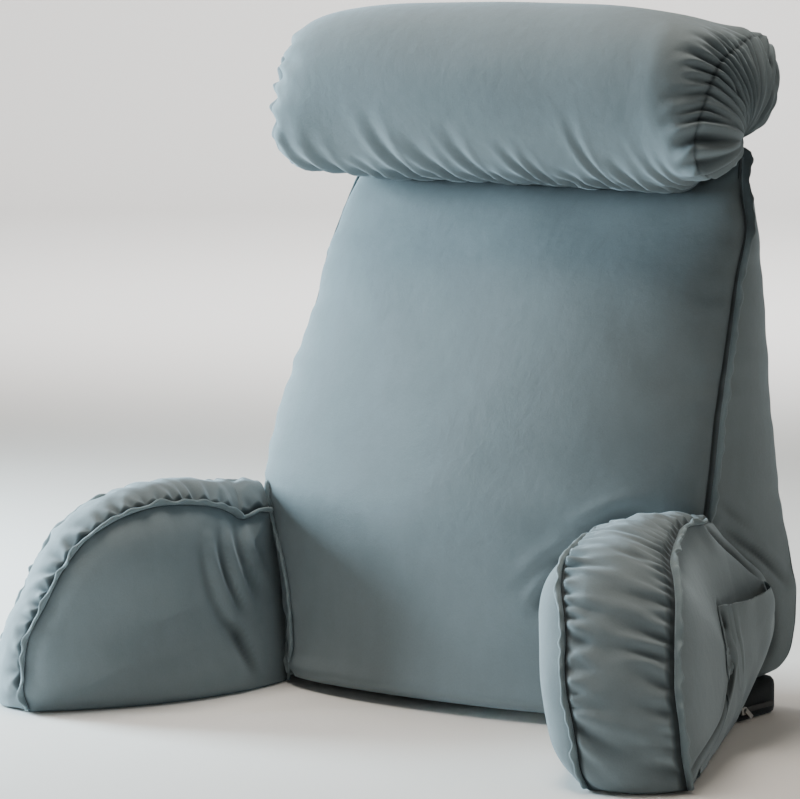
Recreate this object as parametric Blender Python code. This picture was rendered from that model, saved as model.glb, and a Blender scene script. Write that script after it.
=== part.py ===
"""Reading pillow with arms: a filled wedge back, two D-shaped arms and a neck roll.

All sizes are in metres, +Z up. The pillow faces -Y, +X is its own left-hand arm as the
viewer in front sees it on the right, and the origin is on the floor under its middle.
Every filled piece is one closed solid, lofted through rings of points.
"""
import math

import bmesh
import bpy
import numpy as np
from mathutils import Vector
from mathutils.bvhtree import BVHTree

# ---------------------------------------------------------------- driving dimensions

SEAM_GAP = 0.0004           # clearance kept between two sewn pieces
EDGE_WIDTH = 0.0075         # how far a raised seam edge stands out
EDGE_THICKNESS = 0.0026     # two turned-in layers of cloth
SEAM_ROOT = 0.0007          # how far its root stands off the seam
CUT_GAP = 0.0008            # clearance that a cut leaves round a raised seam edge

# The back, a row for each level from the base up.
# front, rear: heights of the level at the front seam and at the rear panel
# left_x, left_y, right_x, right_y: where the front panel's side seams are
# crown: how far the front panel swells out between its seams
# rear_left, rear_right, rear_y, rear_crown: corners and swell of the rear panel
# gusset: how far each side panel swells; ear: how far the two top corners stand up
BACK_COLUMNS = ("front", "rear", "left_x", "left_y", "right_x", "right_y", "crown",
                "rear_left", "rear_right", "rear_y", "rear_crown", "gusset", "ear")
BACK_LEVELS = (
    (0.0090, 0.0350, -0.205, 0.042, 0.210, 0.042, 0.034, -0.262, 0.266, 0.194, 0.010, 0.000, 0.000),
    (0.0200, 0.0420, -0.214, 0.049, 0.218, 0.049, 0.050, -0.272, 0.276, 0.205, 0.014, 0.006, 0.000),
    (0.0400, 0.0600, -0.223, 0.064, 0.227, 0.062, 0.060, -0.280, 0.283, 0.215, 0.018, 0.010, 0.000),
    (0.0800, 0.0950, -0.236, 0.076, 0.240, 0.074, 0.066, -0.284, 0.286, 0.220, 0.020, 0.012, 0.000),
    (0.1200, 0.1300, -0.246, 0.081, 0.250, 0.079, 0.067, -0.281, 0.284, 0.221, 0.020, 0.012, 0.000),
    (0.1600, 0.1650, -0.255, 0.082, 0.259, 0.080, 0.066, -0.275, 0.277, 0.220, 0.019, 0.011, 0.000),
    (0.2050, 0.2050, -0.263, 0.081, 0.265, 0.079, 0.064, -0.267, 0.268, 0.218, 0.018, 0.010, 0.000),
    (0.2500, 0.2500, -0.263, 0.092, 0.268, 0.086, 0.062, -0.259, 0.263, 0.216, 0.017, 0.009, 0.000),
    (0.3000, 0.3000, -0.255, 0.105, 0.269, 0.097, 0.059, -0.251, 0.258, 0.214, 0.016, 0.008, 0.000),
    (0.3450, 0.3450, -0.248, 0.120, 0.269, 0.112, 0.055, -0.244, 0.256, 0.212, 0.015, 0.007, 0.000),
    (0.3900, 0.3900, -0.243, 0.139, 0.267, 0.128, 0.050, -0.239, 0.252, 0.211, 0.014, 0.006, 0.000),
    (0.4350, 0.4350, -0.242, 0.156, 0.262, 0.146, 0.044, -0.233, 0.247, 0.210, 0.013, 0.005, 0.000),
    (0.4750, 0.4770, -0.236, 0.176, 0.254, 0.168, 0.036, -0.226, 0.240, 0.209, 0.012, 0.004, 0.004),
    (0.5000, 0.5050, -0.228, 0.187, 0.243, 0.179, 0.026, -0.220, 0.232, 0.212, 0.010, 0.003, 0.010),
    (0.5150, 0.5220, -0.219, 0.196, 0.234, 0.192, 0.014, -0.213, 0.226, 0.217, 0.007, 0.002, 0.020),
    (0.5220, 0.5300, -0.214, 0.204, 0.229, 0.203, 0.005, -0.208, 0.222, 0.220, 0.003, 0.001, 0.026),
)
FRONT_POINTS = 17           # points across the front panel
SIDE_POINTS = 4             # points between the front seam and the rear panel
REAR_POINTS = 9             # points across the rear panel
FRONT_FULLNESS = 2.4        # 2 is an ellipse, more is a flatter panel with steeper edges
EAR_SHARPNESS = 8.0         # how closely the standing corners keep to the corners

# The base panel: its outline on the floor, right half (x, y), and its wedge height.
BASE_OUTLINE = ((0.000, 0.066), (0.110, 0.062), (0.196, 0.064), (0.279, 0.112),
                (0.2815, 0.188), (0.275, 0.1950), (0.000, 0.1950))
BASE_INSET = 0.0030         # how far the base's upper edge draws in
BASE_EXTRA = 0.0015         # extra height, cut away to the back's underside

# The arms, seam by seam, from the back along the top and down to the tip on the floor.
RIGHT_INNER = ((0.241, 0.052, 0.172), (0.240, 0.020, 0.188), (0.236, -0.020, 0.201),
               (0.233, -0.060, 0.207), (0.233, -0.084, 0.206), (0.240, -0.120, 0.200),
               (0.250, -0.157, 0.191), (0.264, -0.184, 0.172), (0.277, -0.200, 0.151),
               (0.286, -0.211, 0.131), (0.292, -0.222, 0.111), (0.299, -0.231, 0.090),
               (0.309, -0.237, 0.065), (0.316, -0.240, 0.043), (0.320, -0.239, 0.019),
               (0.325, -0.231, 0.000))
RIGHT_OUTER = ((0.277, 0.066, 0.205), (0.285, 0.035, 0.208), (0.291, -0.012, 0.210),
               (0.301, -0.040, 0.204), (0.316, -0.072, 0.199), (0.332, -0.103, 0.191),
               (0.348, -0.124, 0.180), (0.361, -0.142, 0.162), (0.369, -0.156, 0.141),
               (0.373, -0.163, 0.126), (0.378, -0.171, 0.110), (0.385, -0.182, 0.088),
               (0.394, -0.189, 0.059), (0.398, -0.191, 0.033), (0.401, -0.188, 0.011),
               (0.400, -0.183, 0.000))
LEFT_INNER = ((-0.241, 0.050, 0.174), (-0.243, 0.028, 0.177), (-0.246, 0.008, 0.1715),
              (-0.248, -0.009, 0.180), (-0.249, -0.031, 0.188), (-0.255, -0.070, 0.195),
              (-0.264, -0.110, 0.197), (-0.275, -0.145, 0.191), (-0.286, -0.174, 0.179),
              (-0.296, -0.189, 0.166), (-0.307, -0.210, 0.138), (-0.316, -0.224, 0.107),
              (-0.326, -0.238, 0.076), (-0.330, -0.241, 0.043), (-0.331, -0.241, 0.020),
              (-0.329, -0.234, 0.000))
LEFT_OUTER = ((-0.277, 0.066, 0.197), (-0.285, 0.035, 0.200), (-0.295, -0.012, 0.203),
              (-0.306, -0.045, 0.206), (-0.320, -0.080, 0.203), (-0.337, -0.110, 0.194),
              (-0.352, -0.130, 0.181), (-0.364, -0.146, 0.162), (-0.372, -0.160, 0.138),
              (-0.378, -0.170, 0.114), (-0.385, -0.178, 0.094), (-0.391, -0.184, 0.074),
              (-0.396, -0.188, 0.052), (-0.399, -0.190, 0.030), (-0.401, -0.189, 0.011),
              (-0.400, -0.184, 0.000))
# The arms' sewn-on rear edges, from the floor up, sunk a little way into the back.
REAR_INNER = ((0.222, 0.060, 0.000), (0.243, 0.090, 0.060), (0.256, 0.098, 0.120),
              (0.258, 0.086, 0.165))
REAR_OUTER = ((0.279, 0.108, 0.000), (0.284, 0.126, 0.035), (0.286, 0.160, 0.072),
              (0.286, 0.168, 0.096), (0.285, 0.157, 0.130), (0.283, 0.116, 0.157),
              (0.280, 0.084, 0.186))
ARC_POINTS = 72             # points along an arm's curved seam
FLOOR_POINTS = 8            # points along its straight edge on the floor
REAR_EDGE_POINTS = 8        # points up its sewn-on rear edge
STRIP_STEPS = (0.0, 0.13, 0.5, 0.87, 1.0)   # places across the boxing strip
STRIP_SWELL = 0.017         # how far the strip swells out between its seams
GATHERS = 24                # gathers along each seam of the strip
GATHER_DEPTH = 0.0024
PANEL_RINGS = (0.88, 0.62, 0.32)            # how the side panels close in on their middles
FLOOR_BOW = {"right": (0.042, 1.25), "left": (0.042, 0.75)}   # inner panel's floor edge
INNER_SWELL = {"right": 0.066, "left": 0.042}
OUTER_SWELL = 0.022

# The neck roll: its radius from the axis in eight directions, a row for each place along X.
ROLL_AXIS_Y = 0.162
ROLL_AXIS_Z = 0.611
ROLL_COLUMNS = ("x", "rear", "rear_top", "top", "front_top", "front", "front_low", "bottom",
                "rear_low")
ROLL_SECTIONS = (
    (-0.262, 0.060, 0.055, 0.047, 0.056, 0.066, 0.093, 0.078, 0.052),
    (-0.250, 0.073, 0.068, 0.063, 0.073, 0.079, 0.098, 0.083, 0.058),
    (-0.225, 0.082, 0.079, 0.075, 0.083, 0.086, 0.097, 0.086, 0.070),
    (-0.180, 0.085, 0.085, 0.082, 0.087, 0.088, 0.093, 0.087, 0.088),
    (-0.100, 0.086, 0.087, 0.086, 0.088, 0.088, 0.091, 0.088, 0.096),
    (0.000, 0.086, 0.088, 0.088, 0.088, 0.088, 0.091, 0.089, 0.097),
    (0.100, 0.086, 0.087, 0.086, 0.088, 0.088, 0.092, 0.090, 0.096),
    (0.170, 0.084, 0.084, 0.079, 0.086, 0.087, 0.095, 0.090, 0.084),
    (0.205, 0.080, 0.084, 0.071, 0.080, 0.084, 0.099, 0.083, 0.055),
    (0.230, 0.070, 0.084, 0.062, 0.066, 0.074, 0.103, 0.066, 0.043),
    (0.246, 0.060, 0.080, 0.052, 0.048, 0.060, 0.106, 0.052, 0.036),
)
ROLL_STATIONS = (0.0, 0.7, 1.5, 2.4, 3.2, 4.2, 5.0, 5.8, 6.6, 7.4, 8.2, 9.1, 10.0)
ROLL_PLEATS = 24            # gathers round each end
ROLL_STEPS = 4              # points for each gather
PLEAT_DEPTH = 0.0028
PLEAT_REACH = 0.075         # how far the gathers run back from the end seam
END_POLES = {"right": (0.252, 0.160, 0.570), "left": (-0.268, 0.155, 0.575)}
END_RINGS = (0.84, 0.60, 0.32)              # how an end closes in on its gathered point
END_SWELL = 0.24            # swell of an end against its distance from that point

# The patch pocket on the right arm's outer panel: its two sewn edges (y, z), row by row from
# the narrow end on the floor at the front up to the open mouth.
POCKET_EDGES = (
    ((-0.1500, 0.0125), (-0.1500, 0.0040)),
    ((-0.1085, 0.0150), (-0.1050, 0.0035)),
    ((-0.0730, 0.0195), (-0.0600, 0.0030)),
    ((-0.0440, 0.0280), (-0.0100, 0.0030)),
    ((-0.0270, 0.0420), (0.0450, 0.0035)),
    ((-0.0190, 0.0560), (0.0920, 0.0080)),
    ((-0.0165, 0.0745), (0.1180, 0.0380)),
    ((-0.0155, 0.0930), (0.1410, 0.0680)),
    ((-0.0120, 0.1150), (0.1500, 0.0980)),
    ((-0.0070, 0.1360), (0.1390, 0.1370)),
)
POCKET_SHEET = 0.0020
POCKET_SLACK = 0.0015       # how far the cloth stands off the panel below
POCKET_MOUTH = 0.0210       # how far the mouth stands open
POCKET_ACROSS = 10          # steps across the pocket
POCKET_UP = 18              # steps up the pocket

# The zip that shows at the right side of the base.
ZIP_HEIGHT = 0.0110
ZIP_FRONT = (0.2798, 0.1275)
ZIP_REAR = (0.2815, 0.1780)
CHAIN_SIZE = (0.0016, 0.0052)               # depth and height
SLIDER_SIZE = (0.0034, 0.0085, 0.0078)      # depth, length and height
PULL_SIZE = (0.0014, 0.0150, 0.0048)
PULL_LEAN = math.radians(-38.0)             # how steeply the pull tab hangs

# The raised seam edges.
FRONT_EDGE_POINTS = 60
FRONT_EDGE_WAY = {"left": (-1.0, 0.5, 0.0), "right": (1.0, -0.1, 0.0)}
ARM_EDGE_POINTS = 72

CLOTH = (0.150, 0.205, 0.225, 1.0)
DARK_CLOTH = (0.020, 0.023, 0.026, 1.0)
METAL = (0.600, 0.600, 0.590, 1.0)
DARK_METAL = (0.060, 0.062, 0.065, 1.0)


# ---------------------------------------------------------------- scene and materials

def clear_scene():
    """Remove every object and leftover mesh."""
    for item in list(bpy.data.objects):
        bpy.data.objects.remove(item, do_unlink=True)
    for mesh in list(bpy.data.meshes):
        bpy.data.meshes.remove(mesh)


def new_collection(name):
    """Make a collection in the scene."""
    group = bpy.data.collections.new(name)
    bpy.context.scene.collection.children.link(group)
    return group


def material(name, colour, roughness, metallic):
    """Make a plain Principled material."""
    finish = bpy.data.materials.new(name)
    finish.use_nodes = True
    shader = finish.node_tree.nodes["Principled BSDF"]
    shader.inputs["Base Color"].default_value = colour
    shader.inputs["Roughness"].default_value = roughness
    shader.inputs["Metallic"].default_value = metallic
    return finish


def add_object(name, bm, group, finish):
    """Turn a bmesh into an object with outward faces and its own material."""
    bmesh.ops.recalc_face_normals(bm, faces=bm.faces)
    mesh = bpy.data.meshes.new(name)
    bm.to_mesh(mesh)
    bm.free()
    mesh.materials.append(finish)
    mesh.shade_smooth()
    mesh.set_sharp_from_angle(angle=math.radians(40.0))
    item = bpy.data.objects.new(name, mesh)
    group.objects.link(item)
    return item


def subtract(item, cutter):
    """Cut one object by another and keep the result in its mesh."""
    cut = item.modifiers.new(cutter.name, "BOOLEAN")
    cut.operation = "DIFFERENCE"
    cut.solver = "EXACT"
    cut.object = cutter
    bpy.context.view_layer.update()
    graph = bpy.context.evaluated_depsgraph_get()
    mesh = bpy.data.meshes.new_from_object(item.evaluated_get(graph))
    item.modifiers.clear()
    old = item.data
    item.data = mesh
    bpy.data.meshes.remove(old)
    keep_largest_body(item)


def keep_largest_body(item):
    """Drop the crumbs that a cut leaves beside the main body."""
    bm = bmesh.new()
    bm.from_mesh(item.data)
    bmesh.ops.remove_doubles(bm, verts=bm.verts, dist=0.00002)
    bm.faces.ensure_lookup_table()
    unseen = set(bm.faces)
    bodies = []
    while unseen:
        todo = [unseen.pop()]
        body = []
        while todo:
            face = todo.pop()
            body.append(face)
            for edge in face.edges:
                for other in edge.link_faces:
                    if other in unseen:
                        unseen.remove(other)
                        todo.append(other)
        bodies.append(body)
    largest = max(bodies, key=len)
    crumbs = [face for body in bodies if body is not largest for face in body]
    bmesh.ops.delete(bm, geom=crumbs, context="FACES")
    bm.to_mesh(item.data)
    bm.free()


def cutter_from(source, group, growth):
    """Make a hidden copy of a piece, grown outwards, to cut its neighbours with."""
    bm = bmesh.new()
    bm.from_mesh(source.data)
    bmesh.ops.recalc_face_normals(bm, faces=bm.faces)
    bm.normal_update()
    moved = [(vert, vert.co + vert.normal * growth) for vert in bm.verts]
    for vert, place in moved:
        vert.co = place
    mesh = bpy.data.meshes.new(source.name + "_grown")
    bm.to_mesh(mesh)
    bm.free()
    return hidden_object(mesh, group)


def hidden_object(mesh, group):
    """Link a mesh as a cutter that is neither rendered nor kept."""
    item = bpy.data.objects.new(mesh.name, mesh)
    item.hide_render = True
    item.display_type = "WIRE"
    group.objects.link(item)
    return item


# ---------------------------------------------------------------- curves and lofts

def smooth_line(points, count):
    """Even points along a smooth curve through hand-placed points."""
    knots = np.array(points, dtype=float)
    padded = np.vstack([2 * knots[0] - knots[1], knots, 2 * knots[-1] - knots[-2]])
    dense = []
    for index in range(len(knots) - 1):
        a, b, c, d = padded[index:index + 4]
        for t in np.linspace(0.0, 1.0, 12, endpoint=False):
            dense.append(0.5 * (2 * b + (c - a) * t + (2 * a - 5 * b + 4 * c - d) * t ** 2
                                + (3 * b - a - 3 * c + d) * t ** 3))
    dense.append(knots[-1])
    dense = np.array(dense)
    run = np.concatenate([[0.0], np.cumsum(np.linalg.norm(np.diff(dense, axis=0), axis=1))])
    places = np.linspace(0.0, run[-1], count)
    return np.column_stack([np.interp(places, run, dense[:, axis]) for axis in range(3)])


def smooth_periodic(values, count):
    """A smooth closed run of values through evenly spaced ones."""
    size = len(values)
    result = []
    for place in np.arange(count) * size / count:
        index = int(place)
        t = place - index
        a, b, c, d = (values[(index + step) % size] for step in (-1, 0, 1, 2))
        result.append(0.5 * (2 * b + (c - a) * t + (2 * a - 5 * b + 4 * c - d) * t ** 2
                             + (3 * b - a - 3 * c + d) * t ** 3))
    return np.array(result)


def smooth_row(rows, place):
    """A row read between the rows of a table, on a smooth curve through them."""
    table = np.array(rows, dtype=float)
    index = min(int(place), len(table) - 2)
    t = place - index
    before = table[index - 1] if index > 0 else 2 * table[0] - table[1]
    after = table[index + 2] if index + 2 < len(table) else 2 * table[-1] - table[-2]
    b, c = table[index], table[index + 1]
    return 0.5 * (2 * b + (c - before) * t + (2 * before - 5 * b + 4 * c - after) * t ** 2
                  + (3 * b - before - 3 * c + after) * t ** 3)


def loft(rings, first_pole, last_pole):
    """A closed solid through rings of equal length, each end closed on a pole point."""
    bm = bmesh.new()
    loops = [[bm.verts.new(point) for point in ring] for ring in rings]
    size = len(loops[0])
    for lower, upper in zip(loops[:-1], loops[1:]):
        for index in range(size):
            after = (index + 1) % size
            bm.faces.new((lower[index], lower[after], upper[after], upper[index]))
    for loop, pole in ((loops[0], first_pole), (loops[-1], last_pole)):
        centre = bm.verts.new(pole)
        for index in range(size):
            bm.faces.new((loop[index], loop[(index + 1) % size], centre))
    bmesh.ops.triangulate(bm, faces=bm.faces)
    return bm


def unit(vectors):
    """Vectors scaled to length one."""
    return vectors / np.linalg.norm(vectors, axis=-1, keepdims=True)


# ---------------------------------------------------------------- the back and its base

def back_ring(row):
    """One level of the back: front panel, right side, rear panel, left side."""
    level = dict(zip(BACK_COLUMNS, row))
    left = np.array([level["left_x"], level["left_y"]])
    right = np.array([level["right_x"], level["right_y"]])
    rear_left = np.array([level["rear_left"], level["rear_y"]])
    rear_right = np.array([level["rear_right"], level["rear_y"]])
    plan = []
    for index in range(FRONT_POINTS):
        turn = math.pi * index / (FRONT_POINTS - 1)
        across = -math.copysign(abs(math.cos(turn)) ** (2 / FRONT_FULLNESS), math.cos(turn))
        swell = math.sin(turn) ** (2 / FRONT_FULLNESS)
        spot = left + (right - left) * (across + 1) / 2
        plan.append((spot[0], spot[1] - level["crown"] * swell, 0.0))
    plan.extend(side_points(right, rear_right, level["gusset"]))
    for index in range(REAR_POINTS):
        share = index / (REAR_POINTS - 1)
        spot = rear_right + (rear_left - rear_right) * share
        plan.append((spot[0], spot[1] + level["rear_crown"] * math.sin(math.pi * share) ** 0.8,
                     1.0))
    plan.extend((x, y, 1.0 - share) for x, y, share in
                side_points(rear_left, left, -level["gusset"]))
    half = (right[0] - left[0]) / 2
    middle = (right[0] + left[0]) / 2
    ring = []
    for x, y, share in plan:
        height = level["front"] + (level["rear"] - level["front"]) * share
        corner = min(abs((x - middle) / half), 1.0) ** EAR_SHARPNESS
        ring.append((x, y, height + level["ear"] * corner))
    return ring


def side_points(start, end, swell):
    """Points of a side panel between its two seams, with its depth share."""
    points = []
    for index in range(1, SIDE_POINTS + 1):
        share = index / (SIDE_POINTS + 1)
        spot = start + (end - start) * share
        points.append((spot[0] + swell * math.sin(math.pi * share), spot[1], share))
    return points


def build_back(group, finish):
    """The wedge-shaped filled back."""
    rings = [back_ring(row) for row in BACK_LEVELS]
    low = np.mean(rings[0], axis=0)
    low[2] = underside(low[1])
    high = np.mean(rings[-1], axis=0)
    bm = loft(rings, low, high)
    return add_object("back_cushion", bm, group, finish)


def underside(y):
    """Height of the back's underside, which rises towards the rear."""
    lowest = dict(zip(BACK_COLUMNS, BACK_LEVELS[0]))
    share = (y - lowest["left_y"]) / (lowest["rear_y"] - lowest["left_y"])
    return lowest["front"] + (lowest["rear"] - lowest["front"]) * share


def build_base(group, finish):
    """The dark base panel, a shallow wedge that lies flat on the floor."""
    half = [np.array(point) for point in BASE_OUTLINE]
    outline = half + [np.array((-x, y)) for x, y in reversed(BASE_OUTLINE[1:-1])]
    centre = np.mean(outline, axis=0)
    rings = []
    for inset, share in ((BASE_INSET / 3, 0.0), (0.0, 0.10), (0.0, 0.80), (BASE_INSET, 1.0)):
        ring = []
        for spot in outline:
            inward = unit(centre - spot) * inset
            place = spot + inward
            ring.append((place[0], place[1], (underside(place[1]) + BASE_EXTRA) * share))
        rings.append(ring)
    low = (centre[0], centre[1], 0.0)
    high = (centre[0], centre[1], underside(centre[1]) + BASE_EXTRA)
    return add_object("base_panel", loft(rings, low, high), group, finish)


# ---------------------------------------------------------------- the arms

def arm_outline(seam, rear_edge, bow, bow_power):
    """Closed outline of one side of an arm: seam, floor edge, sewn-on rear edge."""
    arc = smooth_line(seam, ARC_POINTS)
    foot = np.array(rear_edge[0])
    shares = np.linspace(0.0, 1.0, FLOOR_POINTS + 2)[1:-1]
    floor = arc[-1] + (foot - arc[-1]) * shares[:, None]
    along = unit(foot - arc[-1])
    sideways = np.array([-along[1], along[0], 0.0]) * (-1.0 if along[0] > 0.0 else 1.0)
    floor = floor + sideways * (bow * np.sin(math.pi * shares) ** bow_power)[:, None]
    rear = smooth_line(rear_edge, REAR_EDGE_POINTS)
    return np.vstack([arc, floor, rear])


def area_centre(outline):
    """Centre of the area inside an outline."""
    middle = outline.mean(axis=0)
    after = np.roll(outline, -1, axis=0)
    areas = np.linalg.norm(np.cross(outline - middle, after - middle), axis=1)
    centres = (outline + after + middle) / 3
    return (centres * areas[:, None]).sum(axis=0) / areas.sum()


def outward_from(outline, centre):
    """Directions in which the boxing strip swells, none on the floor or the rear."""
    after = np.roll(outline, -1, axis=0)
    before = np.roll(outline, 1, axis=0)
    along = unit(after - before)
    away = outline - centre
    away -= along * np.sum(away * along, axis=1, keepdims=True)
    away = unit(away)
    size = len(outline)
    share = np.arange(size) / (ARC_POINTS - 1)
    fade = np.where(share <= 1.0, np.clip(np.minimum(share, 1.0 - share) / 0.06, 0.0, 1.0), 0.0)
    return away * fade[:, None]


def gather_wave(phase):
    """How far each point along a seam is drawn in or let out by the gathers."""
    share = np.arange(ARC_POINTS) / (ARC_POINTS - 1)
    wave = np.sin(2 * math.pi * GATHERS * share + phase)
    wave = wave * (0.75 + 0.25 * np.sin(2 * math.pi * 3.3 * share + 2 * phase))
    return np.concatenate([wave, np.zeros(FLOOR_POINTS + REAR_EDGE_POINTS)])


def build_arm(side, seams, rear_edges, group, finish):
    """One filled arm: inner panel, gathered strip, outer panel, before it is cut to the back."""
    inner = arm_outline(seams[0], rear_edges[0], *FLOOR_BOW[side])
    outer = arm_outline(seams[1], rear_edges[1], 0.0, 1.0)
    inner_swell = INNER_SWELL[side]
    inner_centre = area_centre(inner)
    outer_centre = area_centre(outer)
    rings = []
    for share in PANEL_RINGS[::-1]:
        rings.append(panel_ring(inner, inner_centre, outer_centre, share, inner_swell))
    for step, share in enumerate(STRIP_STEPS):
        ring = inner + (outer - inner) * share
        away = outward_from(ring, inner_centre + (outer_centre - inner_centre) * share)
        swell = STRIP_SWELL * math.sin(math.pi * share) ** 0.7 if 0.0 < share < 1.0 else 0.0
        depth = GATHER_DEPTH * (0.0, 1.0, 0.45, 1.0, 0.0)[step]
        wave = gather_wave(0.0 if share < 0.6 else 1.9)
        rings.append(ring + away * (swell + depth * wave)[:, None])
    for share in PANEL_RINGS:
        rings.append(panel_ring(outer, outer_centre, inner_centre, share, OUTER_SWELL))
    first = inner_centre + level_direction(outer_centre, inner_centre) * inner_swell
    last = outer_centre + level_direction(inner_centre, outer_centre) * OUTER_SWELL
    bm = loft([clamp_to_floor(ring) for ring in rings], first, last)
    return add_object(side + "_arm", bm, group, finish)


def level_direction(start, end):
    """Level direction from one side of an arm to the other."""
    way = end - start
    way = np.array([way[0], way[1], 0.0])
    return way / np.linalg.norm(way)


def panel_ring(outline, centre, other_centre, share, swell):
    """A ring of a side panel that closes in on its middle and swells out."""
    lift = swell * (1.0 - share ** 2.2)
    return centre + (outline - centre) * share + level_direction(other_centre, centre) * lift


def clamp_to_floor(ring):
    """Keep a ring on or above the floor."""
    level = np.array(ring)
    level[:, 2] = np.maximum(level[:, 2], 0.0)
    return level


def mirrored(points):
    """The same points on the pillow's other side."""
    return tuple((-x, y, z) for x, y, z in points)


# ---------------------------------------------------------------- the neck roll

def roll_ring(place):
    """One ring of the roll at a place between the rows of its table."""
    row = smooth_row(ROLL_SECTIONS, place)
    x = row[0]
    count = ROLL_PLEATS * ROLL_STEPS
    radii = smooth_periodic(row[1:], count)
    nearest = min(x - ROLL_SECTIONS[0][0], ROLL_SECTIONS[-1][0] - x)
    reach = max(0.0, 1.0 - nearest / PLEAT_REACH) ** 1.5
    turn = 2 * math.pi * np.arange(count) / count
    wave = np.cos(ROLL_PLEATS * turn) * (0.75 + 0.25 * np.sin(3 * turn + 1.0))
    radii = radii + PLEAT_DEPTH * reach * wave
    return np.column_stack([np.full(count, x), ROLL_AXIS_Y + radii * np.cos(turn),
                            ROLL_AXIS_Z + radii * np.sin(turn)])


def end_ring(seam_ring, pole, share, side):
    """A ring of an end that is gathered towards one point."""
    away = seam_ring - pole
    reach = np.linalg.norm(away, axis=1)
    ring = pole + away * share
    ring[:, 0] += side * END_SWELL * reach * 4 * share * (1.0 - share)
    return ring


def build_roll(group, finish):
    """The neck roll with both of its gathered ends."""
    body = [roll_ring(place) for place in ROLL_STATIONS]
    left_pole = np.array(END_POLES["left"])
    right_pole = np.array(END_POLES["right"])
    left = [end_ring(body[0], left_pole, share, -1.0) for share in END_RINGS[::-1]]
    right = [end_ring(body[-1], right_pole, share, 1.0) for share in END_RINGS]
    bm = loft(left + body + right, left_pole, right_pole)
    return add_object("neck_roll", bm, group, finish)


# ---------------------------------------------------------------- raised seam edges

def seam_edge(name, line, outward, group, finish):
    """A raised seam edge: a thin wavy strip with a narrow root and a wider rim."""
    count = len(line)
    along = np.gradient(line, axis=0)
    along = unit(along)
    outward = unit(outward - along * np.sum(outward * along, axis=1, keepdims=True))
    across = np.cross(along, outward)
    share = np.arange(count) / (count - 1)
    sway = 0.0012 * np.sin(2 * math.pi * 9.0 * share) + 0.0008 * np.sin(2 * math.pi * 17.0 * share)
    width = EDGE_WIDTH * (0.9 + 0.1 * np.sin(2 * math.pi * 14.0 * share + 1.0))
    rings = []
    for index in range(count):
        ring = []
        for side, tip in ((-0.5, 0.0), (-0.5, 1.0), (0.5, 1.0), (0.5, 0.0)):
            reach = SEAM_ROOT + (width[index] - SEAM_ROOT) * tip
            lean = side * EDGE_THICKNESS * (0.45 + 0.55 * tip) + sway[index] * tip
            ring.append(line[index] + outward[index] * reach + across[index] * lean)
        rings.append(ring)
    low = np.mean(rings[0], axis=0)
    high = np.mean(rings[-1], axis=0)
    return add_object(name, loft(rings, low, high), group, finish)


def build_front_seam(side, group, finish):
    """The raised edge down one side of the back's front panel."""
    knots = []
    for row in BACK_LEVELS:
        level = dict(zip(BACK_COLUMNS, row))
        knots.append((level[side + "_x"], level[side + "_y"], level["front"] + level["ear"]))
    line = smooth_line(knots, FRONT_EDGE_POINTS)
    outward = np.tile(np.array(FRONT_EDGE_WAY[side]), (FRONT_EDGE_POINTS, 1))
    return seam_edge("front_seam_" + side, line, outward, group, finish)


def build_arm_seam(name, seam, other_seam, group, finish):
    """The raised edge along one curved seam of an arm."""
    line = smooth_line(seam, ARM_EDGE_POINTS)
    other = smooth_line(other_seam, ARM_EDGE_POINTS)
    middle = np.mean(line, axis=0)
    middle[2] = 0.05
    away = unit(line - middle)
    sideways = unit((line - other) * np.array([1.0, 1.0, 0.0]))
    return seam_edge(name, line[:-1], (away * 0.75 + sideways)[:-1], group, finish)


# ---------------------------------------------------------------- pocket and zip

def pocket_point(arm_tree, y, z, way, reach):
    """A point over the arm's outer panel, a stated reach outside it."""
    hit = arm_tree.ray_cast(Vector((1.0, y, z)), Vector((-1.0, 0.0, 0.0)))[0]
    if hit is None or hit[0] < 0.27:
        hit = arm_tree.find_nearest(Vector((0.29, y, z)))[0]
    return np.array(hit) + np.array(way) * reach


def build_pocket(arm, group, finish):
    """The patch pocket, a curved sheet sewn on three sides and open at its mouth."""
    shell = bmesh.new()
    shell.from_mesh(arm.data)
    tree = BVHTree.FromBMesh(shell)
    shell.free()
    outer = smooth_line(RIGHT_OUTER, ARC_POINTS)
    inner = smooth_line(RIGHT_INNER, ARC_POINTS)
    way = level_direction(inner.mean(axis=0), outer.mean(axis=0))
    rows = np.array(POCKET_EDGES)
    sheets = ([], [])
    for up in range(POCKET_UP + 1):
        place = up * (len(rows) - 1) / POCKET_UP
        row = smooth_row(rows.reshape(len(rows), 4), place)
        opening = max(0.0, place - 4.0) / (len(rows) - 5)
        opening = opening ** 1.6
        for step in range(POCKET_ACROSS + 1):
            share = step / POCKET_ACROSS
            y = row[0] + (row[2] - row[0]) * share
            z = row[1] + (row[3] - row[1]) * share
            fullness = math.sin(math.pi * share) ** 0.8 if 0 < step < POCKET_ACROSS else 0.0
            reach = (POCKET_SLACK + (POCKET_MOUTH - POCKET_SLACK) * opening) * fullness
            for sheet, extra in zip(sheets, (0.0, POCKET_SHEET)):
                sheet.append(pocket_point(tree, y, z, way, reach + extra))
    return add_object("pocket", closed_sheet(sheets, POCKET_ACROSS + 1), group, finish)


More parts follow.
